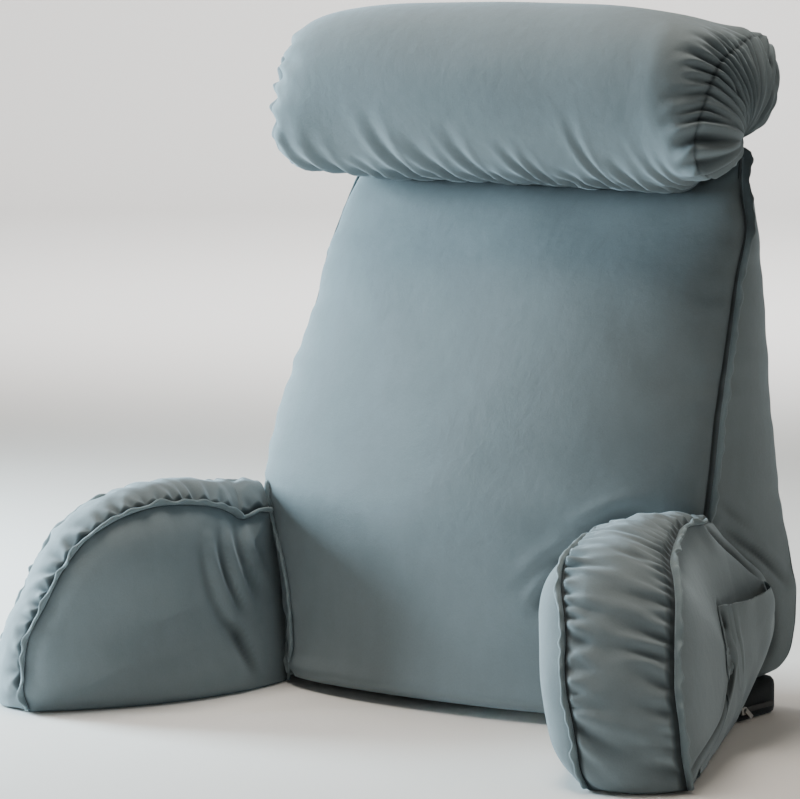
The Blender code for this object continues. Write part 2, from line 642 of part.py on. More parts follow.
def closed_sheet(sheets, columns):
    """A closed thin solid between two grids of points."""
    bm = bmesh.new()
    under, over = ([bm.verts.new(point) for point in sheet] for sheet in sheets)
    rows = len(under) // columns
    for row in range(rows - 1):
        for column in range(columns - 1):
            a = row * columns + column
            corners = (a, a + 1, a + columns + 1, a + columns)
            bm.faces.new([under[corner] for corner in corners[::-1]])
            bm.faces.new([over[corner] for corner in corners])
    rim = [column for column in range(columns)]
    rim += [row * columns + columns - 1 for row in range(1, rows)]
    rim += [(rows - 1) * columns + column for column in range(columns - 2, -1, -1)]
    rim += [row * columns for row in range(rows - 2, 0, -1)]
    for first, second in zip(rim, rim[1:] + rim[:1]):
        bm.faces.new((under[first], under[second], over[second], over[first]))
    bmesh.ops.triangulate(bm, faces=bm.faces)
    return bm


def rounded_box(name, size, place, turn, group, finish):
    """A small box with softened edges."""
    bm = bmesh.new()
    bmesh.ops.create_cube(bm, size=1.0)
    bmesh.ops.scale(bm, vec=size, verts=bm.verts)
    bmesh.ops.bevel(bm, geom=bm.edges, offset=min(size) * 0.25, segments=1, affect="EDGES")
    bmesh.ops.triangulate(bm, faces=bm.faces)
    item = add_object(name, bm, group, finish)
    item.location = place
    item.rotation_euler = turn
    return item


def build_zip(group):
    """The zip that shows at the base's right side: chain, slider and pull tab."""
    front = np.array(ZIP_FRONT)
    rear = np.array(ZIP_REAR)
    heading = math.atan2(rear[1] - front[1], rear[0] - front[0])
    length = float(np.linalg.norm(rear - front))
    outward = np.array([math.sin(heading), -math.cos(heading)])
    middle = (front + rear) / 2 + outward * (SEAM_GAP + CHAIN_SIZE[0] / 2)
    flat = heading - math.pi / 2
    rounded_box("zip_chain", (CHAIN_SIZE[0], length, CHAIN_SIZE[1]),
                (middle[0], middle[1], ZIP_HEIGHT), (0.0, 0.0, flat), group,
                material("zip chain", DARK_METAL, 0.5, 0.8))
    slider = front + outward * (SEAM_GAP + SLIDER_SIZE[0] / 2)
    slider = slider - (rear - front) / length * (SLIDER_SIZE[1] / 2 + SEAM_GAP)
    rounded_box("zip_slider", SLIDER_SIZE, (slider[0], slider[1], ZIP_HEIGHT),
                (0.0, 0.0, flat), group, material("zip slider", METAL, 0.3, 1.0))
    reach = SEAM_GAP + SLIDER_SIZE[0] + SEAM_GAP + PULL_SIZE[0] / 2
    drop = math.sin(PULL_LEAN) * PULL_SIZE[1] / 2
    pull = front + outward * reach + (rear - front) / length * 0.001
    rounded_box("zip_pull", PULL_SIZE, (pull[0], pull[1], ZIP_HEIGHT + drop + 0.0015),
                (PULL_LEAN, 0.0, flat), group, material("zip pull", METAL, 0.3, 1.0))


# ---------------------------------------------------------------- build

def main():
    """Build the pillow."""
    clear_scene()
    parts = new_collection("reading_pillow")
    cutters = new_collection("cutters")
    back = build_back(parts, material("back cloth", CLOTH, 0.9, 0.0))
    base = build_base(parts, material("dark base cloth", DARK_CLOTH, 0.95, 0.0))
    right = build_arm("right", (RIGHT_INNER, RIGHT_OUTER), (REAR_INNER, REAR_OUTER), parts,
                      material("right arm cloth", CLOTH, 0.9, 0.0))
    left = build_arm("left", (LEFT_INNER, LEFT_OUTER),
                     (mirrored(REAR_INNER), mirrored(REAR_OUTER)), parts,
                     material("left arm cloth", CLOTH, 0.9, 0.0))
    roll = build_roll(parts, material("neck roll cloth", CLOTH, 0.9, 0.0))
    seams = {side: build_front_seam(side, parts, material(side + " front seam", CLOTH, 0.9, 0.0))
             for side in ("left", "right")}
    grown_back = cutter_from(back, cutters, SEAM_GAP)
    for item in (base, right, left, roll, *seams.values()):
        subtract(item, grown_back)
    grown_base = cutter_from(base, cutters, SEAM_GAP)
    grown_seams = {side: cutter_from(seam, cutters, CUT_GAP) for side, seam in seams.items()}
    for side, item in (("right", right), ("left", left)):
        subtract(item, grown_base)
        subtract(item, grown_seams[side])
        subtract(roll, grown_seams[side])
    for side, inner, outer in (("left", LEFT_INNER, LEFT_OUTER),
                               ("right", RIGHT_INNER, RIGHT_OUTER)):
        for name, seam, other in (("inner", inner, outer), ("outer", outer, inner)):
            edge = build_arm_seam(side + "_arm_seam_" + name, seam, other, parts,
                                  material(side + " " + name + " seam", CLOTH, 0.9, 0.0))
            subtract(edge, grown_back)
            subtract(edge, grown_seams[side])
    pocket = build_pocket(right, parts, material("pocket cloth", CLOTH, 0.9, 0.0))
    subtract(pocket, cutter_from(right, cutters, SEAM_GAP))
    subtract(pocket, grown_back)
    build_zip(parts)


main()
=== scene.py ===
"""Looks of the reading pillow with arms: cloth forms, seams, finishes, light and camera.

Every size is in metres, in the frame of the solids: +Z up, the pillow faces -Y, and the arm
with the pocket is on the +X side.
"""
from __future__ import annotations

import logging
import math
from dataclasses import dataclass, field
from enum import Enum

import bmesh
import bpy
import numpy as np
from mathutils import Matrix, Vector
from mathutils.bvhtree import BVHTree

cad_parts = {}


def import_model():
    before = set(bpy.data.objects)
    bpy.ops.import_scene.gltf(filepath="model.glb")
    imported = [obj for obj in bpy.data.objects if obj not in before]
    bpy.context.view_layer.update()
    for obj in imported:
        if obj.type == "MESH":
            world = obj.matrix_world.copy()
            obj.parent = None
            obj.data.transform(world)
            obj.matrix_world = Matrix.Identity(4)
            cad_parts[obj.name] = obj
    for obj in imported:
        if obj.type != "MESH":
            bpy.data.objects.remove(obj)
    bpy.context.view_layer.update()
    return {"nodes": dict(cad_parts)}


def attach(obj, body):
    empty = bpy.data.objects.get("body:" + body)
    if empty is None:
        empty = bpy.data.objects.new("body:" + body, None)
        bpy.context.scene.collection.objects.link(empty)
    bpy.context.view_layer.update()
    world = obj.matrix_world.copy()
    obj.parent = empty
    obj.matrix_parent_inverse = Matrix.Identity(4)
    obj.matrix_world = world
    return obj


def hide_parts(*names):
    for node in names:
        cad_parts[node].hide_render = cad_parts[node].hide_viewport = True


logging.basicConfig(level=logging.INFO, format="%(levelname)s %(message)s")
LOG = logging.getLogger("reading_pillow")

Point = tuple[float, float, float]
Pair = tuple[float, float]
Pixel = tuple[float, float]

SEAM_GAP = 0.0005           # clearance kept between two sewn pieces
EDGE_GAP = 0.0002           # clearance of a seam edge or the pocket over the cloth under it
ARM_EDGE_GAP = 0.0001       # the same for an arm's seam edges
FLOOR = 0.0                 # height of the floor that the pillow rests on


class Side(Enum):
    """The pillow's two sides, with the sign of X on each."""

    LEFT = -1.0
    RIGHT = 1.0

    @property
    def word(self) -> str:
        """The side's word in the names of nodes."""
        return self.name.lower()


# ------------------------------------------------------------------ curves and fields

def unit(vectors: np.ndarray) -> np.ndarray:
    """Scale vectors to length one.

    Args:
        vectors: Array whose last axis holds the components.

    Returns:
        The scaled array; a zero vector stays zero.
    """
    length = np.linalg.norm(vectors, axis=-1, keepdims=True)
    return vectors / np.maximum(length, 1e-12)


def smooth_rows(table: np.ndarray, places: np.ndarray) -> np.ndarray:
    """Read a table of numbers between its rows, on smooth curves through them.

    Args:
        table: Rows of values.
        places: Row numbers, which may lie between rows.

    Returns:
        One row of values for each place.
    """
    padded = np.vstack([2 * table[0] - table[1], table, 2 * table[-1] - table[-2]])
    index = np.clip(places.astype(int), 0, len(table) - 2)
    t = (places - index)[:, None]
    a, b, c, d = (padded[index + step] for step in range(4))
    return 0.5 * (2 * b + (c - a) * t + (2 * a - 5 * b + 4 * c - d) * t ** 2
                  + (3 * b - a - 3 * c + d) * t ** 3)


def even_line(points: tuple[Point, ...] | np.ndarray, count: int) -> np.ndarray:
    """Lay even points along a smooth curve through given points.

    Args:
        points: The hand-placed points, in order.
        count: How many points to lay.

    Returns:
        Array of count points.
    """
    knots = np.array(points, dtype=float)
    dense = smooth_rows(knots, np.linspace(0.0, len(knots) - 1.0, 16 * len(knots)))
    run = run_along(dense)
    places = np.linspace(0.0, run[-1], count)
    return np.column_stack([np.interp(places, run, dense[:, axis])
                            for axis in range(knots.shape[1])])


def closed_values(values: np.ndarray, count: int) -> np.ndarray:
    """Read a closed run of evenly spaced values on a smooth curve.

    Args:
        values: Values once round, shape (n,) or (rows, n).
        count: How many values to read once round.

    Returns:
        Array with count values on its last axis.
    """
    size = values.shape[-1]
    place = np.arange(count) * size / count
    index = place.astype(int)
    t = place - index
    a, b, c, d = (values[..., (index + step) % size] for step in (-1, 0, 1, 2))
    return 0.5 * (2 * b + (c - a) * t + (2 * a - 5 * b + 4 * c - d) * t ** 2
                  + (3 * b - a - 3 * c + d) * t ** 3)


def run_along(line: np.ndarray) -> np.ndarray:
    """Lengths along a line from its first point to each point."""
    return np.concatenate([[0.0], np.cumsum(np.linalg.norm(np.diff(line, axis=0), axis=1))])


def level_way(vectors: np.ndarray) -> np.ndarray:
    """Directions of vectors as seen from above."""
    return unit(vectors * np.array((1.0, 1.0, 0.0)))


def soften_closed(line: np.ndarray, reach: int) -> np.ndarray:
    """Average a closed line of points along itself.

    Args:
        line: Points once round.
        reach: How many neighbours on each side take part.

    Returns:
        The softened line.
    """
    width = np.arange(-reach, reach + 1)
    weight = np.exp(-(width / (0.45 * reach + 1e-9)) ** 2)
    total = sum(w * np.roll(line, int(-shift), axis=0) for shift, w in zip(width, weight))
    return total / weight.sum()


def step_up(value: np.ndarray, low: float, high: float) -> np.ndarray:
    """A smooth step from 0 at low to 1 at high."""
    t = np.clip((value - low) / (high - low), 0.0, 1.0)
    return t * t * (3.0 - 2.0 * t)


@dataclass(frozen=True)
class Ripple:
    """A smooth uneven field made of plane waves with fixed, seeded directions."""

    seed: int
    shortest: float
    longest: float
    waves: int = 14
    phase: float = 6.283        # the largest, about a full turn
    height: float = 0.75        # brings the sum of the waves to about -1 to 1

    def at(self, points: np.ndarray) -> np.ndarray:
        """Read the field.

        Args:
            points: Places, with one to three components on the last axis.

        Returns:
            Values of about -1 to 1.
        """
        chance = np.random.default_rng(self.seed)
        size = points.shape[-1]
        total = np.zeros(points.shape[:-1])
        for _ in range(self.waves):
            way = unit(chance.normal(size=size))
            length = self.shortest * (self.longest / self.shortest) ** chance.random()
            total += np.sin(points @ way * (math.tau / length) + chance.random() * self.phase)
        return total / math.sqrt(self.waves) * self.height


# How far single gathers stray from even ones.
SPACING_PLAY = 0.28
DEPTH_PLAY = (0.55, 1.25)
WIDTH_PLAY = (0.75, 1.25)
SLANT_PLAY = 0.25
TURN_PLAY = 0.5
BEND_PLAY = 0.8

# Shape of one gather: how it widens and fades away from the seam, the power of its hollow,
# and the height, place and width of the ridges beside it, in its own widths.
GATHER_FLARE = 1.3
GATHER_FADE = 1.2
GATHER_HOLLOW = 1.6
GATHER_RIDGE = (0.45, 2.1, 0.9)


@dataclass(frozen=True)
class Gathers:
    """Small folds that start on a seam and die away from it.

    Places along the seam and the reach away from it are shares of the cloth's own width.
    """

    seed: int
    count: int
    depth: float
    reach: Pair
    width: float
    slant: float = 0.0
    crowding: tuple[Pair, ...] = ((0.0, 1.0), (1.0, 1.0))
    ends: Pair = (0.0, 1.0)
    skew: float = 1.0           # more than 1 makes short folds commoner than long ones

    def at(self, along: np.ndarray, away: np.ndarray) -> np.ndarray:
        """How far the folds sink each place.

        Args:
            along: Share of the seam's length, 0 to 1.
            away: Share of the cloth's width away from the seam, 0 on the seam.

        Returns:
            Depths in metres, positive inwards.
        """
        chance = np.random.default_rng(self.seed)
        grid = np.linspace(self.ends[0], self.ends[1], 400)
        crowd = np.interp(grid, [place for place, _ in self.crowding],
                          [value for _, value in self.crowding])
        run = np.concatenate([[0.0], np.cumsum((crowd[1:] + crowd[:-1]) / 2)])
        play = chance.uniform(-SPACING_PLAY, SPACING_PLAY, self.count)
        marks = np.arange(self.count) + 0.5 + play
        places = np.interp(marks / self.count * run[-1], run, grid)
        gaps = np.gradient(places)
        ridge_height, ridge_place, ridge_width = GATHER_RIDGE
        total = np.zeros(along.shape)
        for place, gap in zip(places, gaps):
            strength = self.depth * chance.uniform(*DEPTH_PLAY)
            reach = self.reach[0] + (self.reach[1] - self.reach[0]) * chance.random() ** self.skew
            width = max(gap, 1e-4) * self.width * chance.uniform(*WIDTH_PLAY)
            slant = (self.slant + chance.normal() * SLANT_PLAY * abs(self.slant)
                     + chance.normal() * gap * TURN_PLAY)
            bend = chance.normal() * gap * BEND_PLAY
            middle = place + slant * away + bend * away ** 2
            spread = width * (1.0 + GATHER_FLARE * np.clip(away / reach, 0.0, 1.5))
            across = np.abs((along - middle) / spread)
            fade = np.clip(1.0 - away / reach, 0.0, 1.0) ** GATHER_FADE
            ridge = ridge_height * np.exp(-((across - ridge_place) / ridge_width) ** 2)
            total += strength * fade * (np.exp(-across ** GATHER_HOLLOW) - ridge)
        return total


# ------------------------------------------------------------------ camera

@dataclass(frozen=True)
class PhotoCamera:
    """The camera at the photograph's angle."""

    position: Point = (2.260, -3.332, 0.787)
    target: Point = (-0.0196, -0.0336, 0.3136)
    focal_pixels: float = 4112.0
    width: float = 800.0
    height: float = 799.0
    sensor: float = 36.0

    def ways(self) -> tuple[np.ndarray, np.ndarray, np.ndarray]:
        """The camera's forward, right and up directions."""
        forward = unit(np.array(self.target) - np.array(self.position))
        right = unit(np.cross(forward, np.array((0.0, 0.0, 1.0))))
        return forward, right, np.cross(right, forward)

    def ray(self, pixel: Pixel) -> Vector:
        """Direction in which the camera sees a pixel of the photograph."""
        forward, right, up = self.ways()
        way = (forward + right * (pixel[0] - self.width / 2) / self.focal_pixels
               + up * (self.height / 2 - pixel[1]) / self.focal_pixels)
        return Vector(unit(way))

    def at_depth(self, pixel: Pixel, depth: float) -> np.ndarray:
        """The place on a pixel's line of sight that has a given Y."""
        start, way = np.array(self.position), np.array(self.ray(pixel))
        return start + way * ((depth - start[1]) / way[1])

    def create(self) -> bpy.types.Object:
        """Make the camera and look through it."""
        data = bpy.data.cameras.new("photo_camera")
        data.sensor_width = self.sensor
        data.lens = self.focal_pixels / self.width * self.sensor
        data.clip_end = 30.0
        item = bpy.data.objects.new("photo_camera", data)
        bpy.context.scene.collection.objects.link(item)
        item.location = self.position
        way = Vector(self.target) - Vector(self.position)
        item.rotation_euler = way.to_track_quat("-Z", "Y").to_euler()
        bpy.context.scene.camera = item
        return item


# ------------------------------------------------------------------ meshes

class Form:
    """Makes and shapes the meshes of soft pieces."""

    @staticmethod
    def loft(name: str, rings: np.ndarray, first: np.ndarray, last: np.ndarray,
             marks: dict[str, np.ndarray] | None = None) -> bpy.types.Object:
        """Wrap a grid round closed rings and close its two ends.

        Args:
            name: Name of the new object.
            rings: Places, shape (rings, points, 3).
            first: Point that closes the first ring.
            last: Point that closes the last ring.
            marks: Values of each ring point, kept as attributes of the mesh.

        Returns:
            The new object.
        """
        rows, columns = rings.shape[:2]
        full = np.concatenate([np.tile(first, (1, columns, 1)), rings,
                               np.tile(last, (1, columns, 1))])
        bm = bmesh.new()
        bmesh.ops.create_grid(bm, x_segments=columns, y_segments=rows + 1, size=1.0)
        layers = {}
        for key in marks or {}:
            layers[key] = bm.verts.layers.float.new(key)
        for vert in bm.verts:
            column = round((vert.co.x + 1.0) / 2.0 * columns) % columns
            row = round((vert.co.y + 1.0) / 2.0 * (rows + 1))
            vert.co = full[row, column]
            for key, layer in layers.items():
                vert[layer] = marks[key][min(max(row - 1, 0), rows - 1), column]
        bmesh.ops.remove_doubles(bm, verts=bm.verts, dist=1e-7)
        return Form.finish(name, bm)

    @staticmethod
    def finish(name: str, bm: bmesh.types.BMesh) -> bpy.types.Object:
        """Turn a bmesh into a smooth object with outward faces.

        Args:
            name: Name of the new object.
            bm: The mesh, freed here.

        Returns:
            The new object, at the origin.
        """
        bmesh.ops.recalc_face_normals(bm, faces=bm.faces)
        mesh = bpy.data.meshes.new(name)
        bm.to_mesh(mesh)
        bm.free()
        mesh.shade_smooth()
        item = bpy.data.objects.new(name, mesh)
        bpy.context.scene.collection.objects.link(item)
        return item

    @staticmethod
    def places(item: bpy.types.Object) -> np.ndarray:
        """The places of an object's vertices."""
        flat = np.empty(len(item.data.vertices) * 3)
        item.data.vertices.foreach_get("co", flat)
        return flat.reshape(-1, 3)

    @staticmethod
    def normals(item: bpy.types.Object) -> np.ndarray:
        """The directions in which an object's surface faces at its vertices."""
        flat = np.empty(len(item.data.vertices) * 3)
        item.data.vertex_normals.foreach_get("vector", flat)
        return flat.reshape(-1, 3)

    @staticmethod
    def move(item: bpy.types.Object, places: np.ndarray) -> None:
        """Move an object's vertices, never below the floor."""
        places = places.copy()
        places[:, 2] = np.maximum(places[:, 2], FLOOR)
        item.data.vertices.foreach_set("co", places.ravel())
        item.data.update()

    @staticmethod
    def mark(item: bpy.types.Object, name: str, values: np.ndarray) -> None:
        """Keep one value for each vertex as an attribute of the mesh."""
        layer = item.data.attributes.get(name)
        if layer is None:
            layer = item.data.attributes.new(name, "FLOAT", "POINT")
        layer.data.foreach_set("value", values.astype(np.float32))

    @staticmethod
    def marks(item: bpy.types.Object, name: str) -> np.ndarray:
        """Values of an attribute, or zeros where the mesh has none."""
        values = np.zeros(len(item.data.vertices), dtype=np.float32)
        layer = item.data.attributes.get(name)
        if layer is not None:
            layer.data.foreach_get("value", values)
        return values.astype(float)

    @staticmethod
    def tree(item: bpy.types.Object) -> BVHTree:
        """A search tree of an object's surface."""
        bm = bmesh.new()
        bm.from_mesh(item.data)
        tree = BVHTree.FromBMesh(bm)
        bm.free()
        return tree

    @staticmethod
    def soften(item: bpy.types.Object, name: str, rounds: int) -> None:
        """Smooth the vertices that an attribute marks."""
        chosen = Form.marks(item, name) > 0.5
        bm = bmesh.new()
        bm.from_mesh(item.data)
        verts = [vert for vert, inside in zip(bm.verts, chosen) if inside]
        for _ in range(rounds):
            bmesh.ops.smooth_vert(bm, verts=verts, factor=0.5, use_axis_x=True,
                                  use_axis_y=True, use_axis_z=True)
        bm.to_mesh(item.data)
        bm.free()

    @staticmethod
    def join(item: bpy.types.Object, other: bpy.types.Object) -> None:
        """Take another object's mesh into an object and drop the other object."""
        bm = bmesh.new()
        for part in (item, other):
            bm.from_mesh(part.data)
        bm.to_mesh(item.data)
        bm.free()
        bpy.data.objects.remove(other)

    @staticmethod
    def press_out(item: bpy.types.Object, neighbour: bpy.types.Object, gap: float) -> None:
        """Press a soft piece flat where it would sink into its neighbour.

        Args:
            item: The soft piece.
            neighbour: The closed piece that it lies against.
            gap: Clearance to keep.
        """
        tree = Form.tree(neighbour)
        places = Form.places(item)
        corners = np.array([tuple(corner) for corner in neighbour.bound_box])
        low = corners.min(axis=0) - gap
        high = corners.max(axis=0) + gap
        near = np.all((places > low) & (places < high), axis=1)
        for index in np.flatnonzero(near):
            spot = Vector(places[index])
            hit, normal, _, _ = tree.find_nearest(spot)
            if (spot - hit).dot(normal) < gap:
                places[index] = hit + normal * gap
        Form.move(item, places)


# Shape across a fold, in its own widths: the power of its hollow, the place and width of the
# ridges beside it, and how far it reaches. Then the power with which it fades towards its
# ends, and how far a surface may face away from the camera before the fold leaves it alone.
FOLD_HOLLOW = 1.7
FOLD_RIDGE = (1.7, 0.9)
FOLD_REACH = 5.0
FOLD_TAPER = 0.6
TURNED_AWAY = 0.25


@dataclass(frozen=True)
class Fold:
    """A fold where the photograph shows one, followed from pixel to pixel.

    The cloth sinks along the line and rises a little on both sides of it. A fold with a
    negative depth stands out.
    """

    line: tuple[Pixel, ...]
    width: float
    depth: float
    lift: float = 0.6           # height of the ridges beside it, as a share of its depth

    def spine(self, tree: BVHTree, camera: PhotoCamera) -> np.ndarray:
        """The places on a surface where the camera sees the fold's line."""
        steps = even_line(self.line, max(8, 6 * len(self.line)))
        eye = Vector(camera.position)
        hits = [tree.ray_cast(eye, camera.ray(tuple(step)))[0] for step in steps]
        return np.array([tuple(hit) for hit in hits if hit is not None])

    def press(self, places: np.ndarray, normals: np.ndarray, tree: BVHTree,
              camera: PhotoCamera) -> np.ndarray:
        """How far the fold moves each vertex out.

        Args:
            places: Places of the vertices.
            normals: Directions in which they face.
            tree: Search tree of the surface.
            camera: The camera that sees the pixels.

        Returns:
            Distances in metres, negative inwards.
        """
        spine = self.spine(tree, camera)
        moved = np.zeros(len(places))
        if len(spine) < 3:
            LOG.warning("a fold at %s misses its piece", self.line[0])
            return moved
        reach = self.width * FOLD_REACH
        near = np.flatnonzero(np.all((places > spine.min(axis=0) - reach)
                                     & (places < spine.max(axis=0) + reach), axis=1))
        run = np.diff(spine, axis=0)
        length = np.maximum(np.sum(run * run, axis=1), 1e-12)
        away = places[near][:, None] - spine[None, :-1]
        share = np.clip(np.sum(away * run[None], axis=2) / length[None], 0.0, 1.0)
        distance = np.linalg.norm(away - run[None] * share[..., None], axis=2)
        nearest = distance.argmin(axis=1)
        rows = np.arange(len(near))
        along = (nearest + share[rows, nearest]) / len(run)
        aside = distance[rows, nearest] / self.width
        taper = np.sin(math.pi * np.clip(along, 0.02, 0.98)) ** FOLD_TAPER
        sink = np.exp(-aside ** FOLD_HOLLOW)
        ridge_place, ridge_width = FOLD_RIDGE
        ridges = sum(np.exp(-((aside - place) / ridge_width) ** 2)
                     for place in (ridge_place, -ridge_place))
        facing = normals[near] @ camera.ways()[0] < TURNED_AWAY
        moved[near] = np.where(facing, self.depth * taper * (self.lift * ridges - sink), 0.0)
        return moved


def press_folds(item: bpy.types.Object, folds: tuple[Fold, ...], camera: PhotoCamera,
                full: float = 0.004) -> None:
    """Press a group of folds into a piece and paint shade on it where it sinks.

    Args:
        item: The piece.
        folds: The folds.
        camera: The camera that sees their pixels.
        full: How far it has to sink for the painted shade to be full.
    """
    places = Form.places(item)
    normals = Form.normals(item)
    tree = Form.tree(item)
    moved = np.zeros(len(places))
    for fold in folds:
        moved += fold.press(places, normals, tree, camera)
    Form.move(item, places + normals * moved[:, None])
    # Painted shade where the folds sink the cloth.
    Form.mark(item, "sunk", Form.marks(item, "sunk") + np.clip(-moved / full, 0.0, 1.0))


# ------------------------------------------------------------------ finishes

class Signal:
    """A value or colour that runs through a material's nodes."""

    def __init__(self, graph: "Graph", socket: bpy.types.NodeSocket) -> None:
        """Wrap an output socket of a node."""
        self.graph = graph
        self.socket = socket

    def _maths(self, kind: str, *values: "Signal | float") -> "Signal":
        """Join this signal and others through one Math node."""
        inputs = {index: value for index, value in enumerate((self, *values))}
        return self.graph.add("ShaderNodeMath", {"operation": kind}, inputs)

    def __add__(self, other: "Signal | float") -> "Signal":
        """This signal plus another."""
        return self._maths("ADD", other)

    def __radd__(self, other: float) -> "Signal":
        """A number plus this signal."""
        return self._maths("ADD", other)

    def __sub__(self, other: "Signal | float") -> "Signal":
        """This signal less another."""
        return self._maths("SUBTRACT", other)

    def __rsub__(self, other: float) -> "Signal":
        """A number less this signal."""
        return self.graph.add("ShaderNodeMath", {"operation": "SUBTRACT"}, {0: other, 1: self})

    def __mul__(self, other: "Signal | float") -> "Signal":
        """This signal times another."""
        return self._maths("MULTIPLY", other)

    def __rmul__(self, other: float) -> "Signal":
        """A number times this signal."""
        return self._maths("MULTIPLY", other)

    def clamp(self, low: float, high: float) -> "Signal":
        """This signal kept between two numbers."""
        return self._maths("MAXIMUM", low)._maths("MINIMUM", high)


class Graph:
    """A material's nodes."""

    def __init__(self, name: str) -> None:
        """Make a material with one Principled shader."""
        self.material = bpy.data.materials.new(name)
        self.material.use_nodes = True
        self.nodes = self.material.node_tree.nodes
        self.shader = self.nodes["Principled BSDF"]

    def add(self, kind: str, settings: dict[str, object] | None = None,
            inputs: dict[int | str, object] | None = None, output: int | str = 0) -> Signal:
        """Add one node.

        Args:
            kind: The node's type.
            settings: Values of its properties.
            inputs: Signals or fixed values of its inputs.
            output: Which of its outputs to hand back.

        Returns:
            The chosen output.
        """
        node = self.nodes.new(kind)
        for key, value in (settings or {}).items():
            setattr(node, key, value)
        for key, value in (inputs or {}).items():
            self.feed(node.inputs[key], value)
        return Signal(self, node.outputs[output])

    def feed(self, socket: bpy.types.NodeSocket, value: object) -> None:
        """Link a signal into a socket, or set the socket's own value."""
        if isinstance(value, Signal):
            self.material.node_tree.links.new(value.socket, socket)
        else:
            socket.default_value = value

    def noise(self, size: float, detail: float = 2.0, stretch: Point = (1.0, 1.0, 1.0),
              roughness: float = 0.5) -> Signal:
        """An even noise in the object's own space.

        Args:
            size: Size of its blotches in metres.
            detail: How many finer layers it has.
            stretch: How far it is drawn out along X, Y and Z.
            roughness: How strong the finer layers are.

        Returns:
            Values of about 0 to 1.
        """
        place = self.add("ShaderNodeTexCoord", output="Object")
        scale = tuple(1.0 / (size * axis) for axis in stretch)
        moved = self.add("ShaderNodeMapping", inputs={"Vector": place, "Scale": scale})
        return self.add("ShaderNodeTexNoise", inputs={
            "Vector": moved, "Scale": 1.0, "Detail": detail, "Roughness": roughness})

    def attribute(self, name: str) -> Signal:
        """A value that the mesh keeps at its vertices."""
        return self.add("ShaderNodeAttribute", {"attribute_name": name}, output="Fac")

    def mix(self, share: "Signal | float", first: object, second: object) -> Signal:
        """A colour between two colours."""
        return self.add("ShaderNodeMix", {"data_type": "RGBA"},
                        {0: share, 6: first, 7: second}, output=2)

    def bump(self, height: Signal, distance: float, strength: float = 1.0,
             normal: Signal | None = None) -> Signal:
        """A bump that follows a height."""
        inputs = {"Height": height, "Distance": distance, "Strength": strength}
        if normal is not None:
            inputs["Normal"] = normal
        return self.add("ShaderNodeBump", inputs=inputs, output="Normal")


def colour(tone: Point, share: float = 1.0) -> tuple[float, ...]:
    """A tone, lighter or darker by a share, as a shader's colour."""
    return tuple(share * value for value in tone) + (1.0,)


@dataclass(frozen=True)
class BrushedCloth:
    """A soft brushed cloth with a short nap."""

    name: str
    tone: Point
    hollow: float = 0.24        # share of the tone kept where painted shade is full, in folds and seams
    darkest: float = 0.25       # shares of the tone between which it varies
    lightest: float = 1.15
    sheen: float = 0.30
    sheen_tint: Point = (0.72, 0.88, 1.0)
    sheen_roughness: float = 0.42
    specular: float = 0.18
    roughness: float = 0.86
    mottle: float = 0.09        # unevenness of the nap
    blotch: float = 0.085       # sizes of the nap's unevenness, from broad to fine
    streak: float = 0.016
    dent: float = 0.011
    grain: float = 0.0016
    fibre: float = 0.0007
    dent_height: float = 0.0006
    weave: float = 0.00022      # height of the nap's grain

    def create(self) -> bpy.types.Material:
        """Make the material.

        Returns:
            The material.
        """
        graph = Graph(self.name)
        inputs = graph.shader.inputs
        broad = graph.noise(self.blotch, 3.0, roughness=0.6)
        streak = graph.noise(self.streak, 3.0, stretch=(1.0, 1.0, 2.2))
        grain = graph.noise(self.grain, 2.0)
        fibre = graph.noise(self.fibre, 1.0, stretch=(1.0, 1.0, 1.6))
        tone = 1.0
        for noise, share in ((broad, 2.4), (streak, 1.4), (grain, 1.6)):
            tone = tone + (noise - 0.5) * (share * self.mottle)
        # Painted shade: the tone is darkened where the mesh's attribute marks folds, pleats,
        # gathers and seams.
        sunk = graph.attribute("sunk").clamp(0.0, 1.0)
        tone = (tone * (1.0 - sunk * (1.0 - self.hollow))).clamp(0.0, 2.0)
        share = ((tone - self.darkest) * (1.0 / (self.lightest - self.darkest))).clamp(0.0, 1.0)
        graph.feed(inputs["Base Color"], graph.mix(share, colour(self.tone, self.darkest),
                                                   colour(self.tone, self.lightest)))
        graph.feed(inputs["Roughness"], (self.roughness + (broad - 0.5) * 0.12).clamp(0.0, 1.0))
        soft = graph.bump(graph.noise(self.dent, 2.0), self.dent_height, 0.6)
        nap = grain * 0.65 + fibre * 0.35
        graph.feed(inputs["Normal"], graph.bump(nap, self.weave, 0.9, soft))
        inputs["Sheen Weight"].default_value = self.sheen
        inputs["Sheen Roughness"].default_value = self.sheen_roughness
        inputs["Sheen Tint"].default_value = colour(self.sheen_tint)
        inputs["Specular IOR Level"].default_value = self.specular
        return graph.material


@dataclass(frozen=True)
class ZipMetal:
    """A metal or coated zip part with fine scratches."""

    name: str
    tone: Point
    roughness: float = 0.30
    metallic: float = 1.0
    scratch: float = 0.0012     # width of the scratches
    scratch_depth: float = 0.0001

    def create(self) -> bpy.types.Material:
        """Make the material.

        Returns:
            The material.
        """
        graph = Graph(self.name)
        inputs = graph.shader.inputs
        scratch = graph.noise(self.scratch, 3.0, stretch=(1.0, 6.0, 1.0))
        graph.feed(inputs["Base Color"],
                   graph.mix(scratch, colour(self.tone, 0.7), colour(self.tone)))
        graph.feed(inputs["Roughness"],
                   (self.roughness + (scratch - 0.5) * 0.2).clamp(0.05, 1.0))
        graph.feed(inputs["Normal"], graph.bump(scratch, self.scratch_depth, 0.5))
        inputs["Metallic"].default_value = self.metallic
        return graph.material


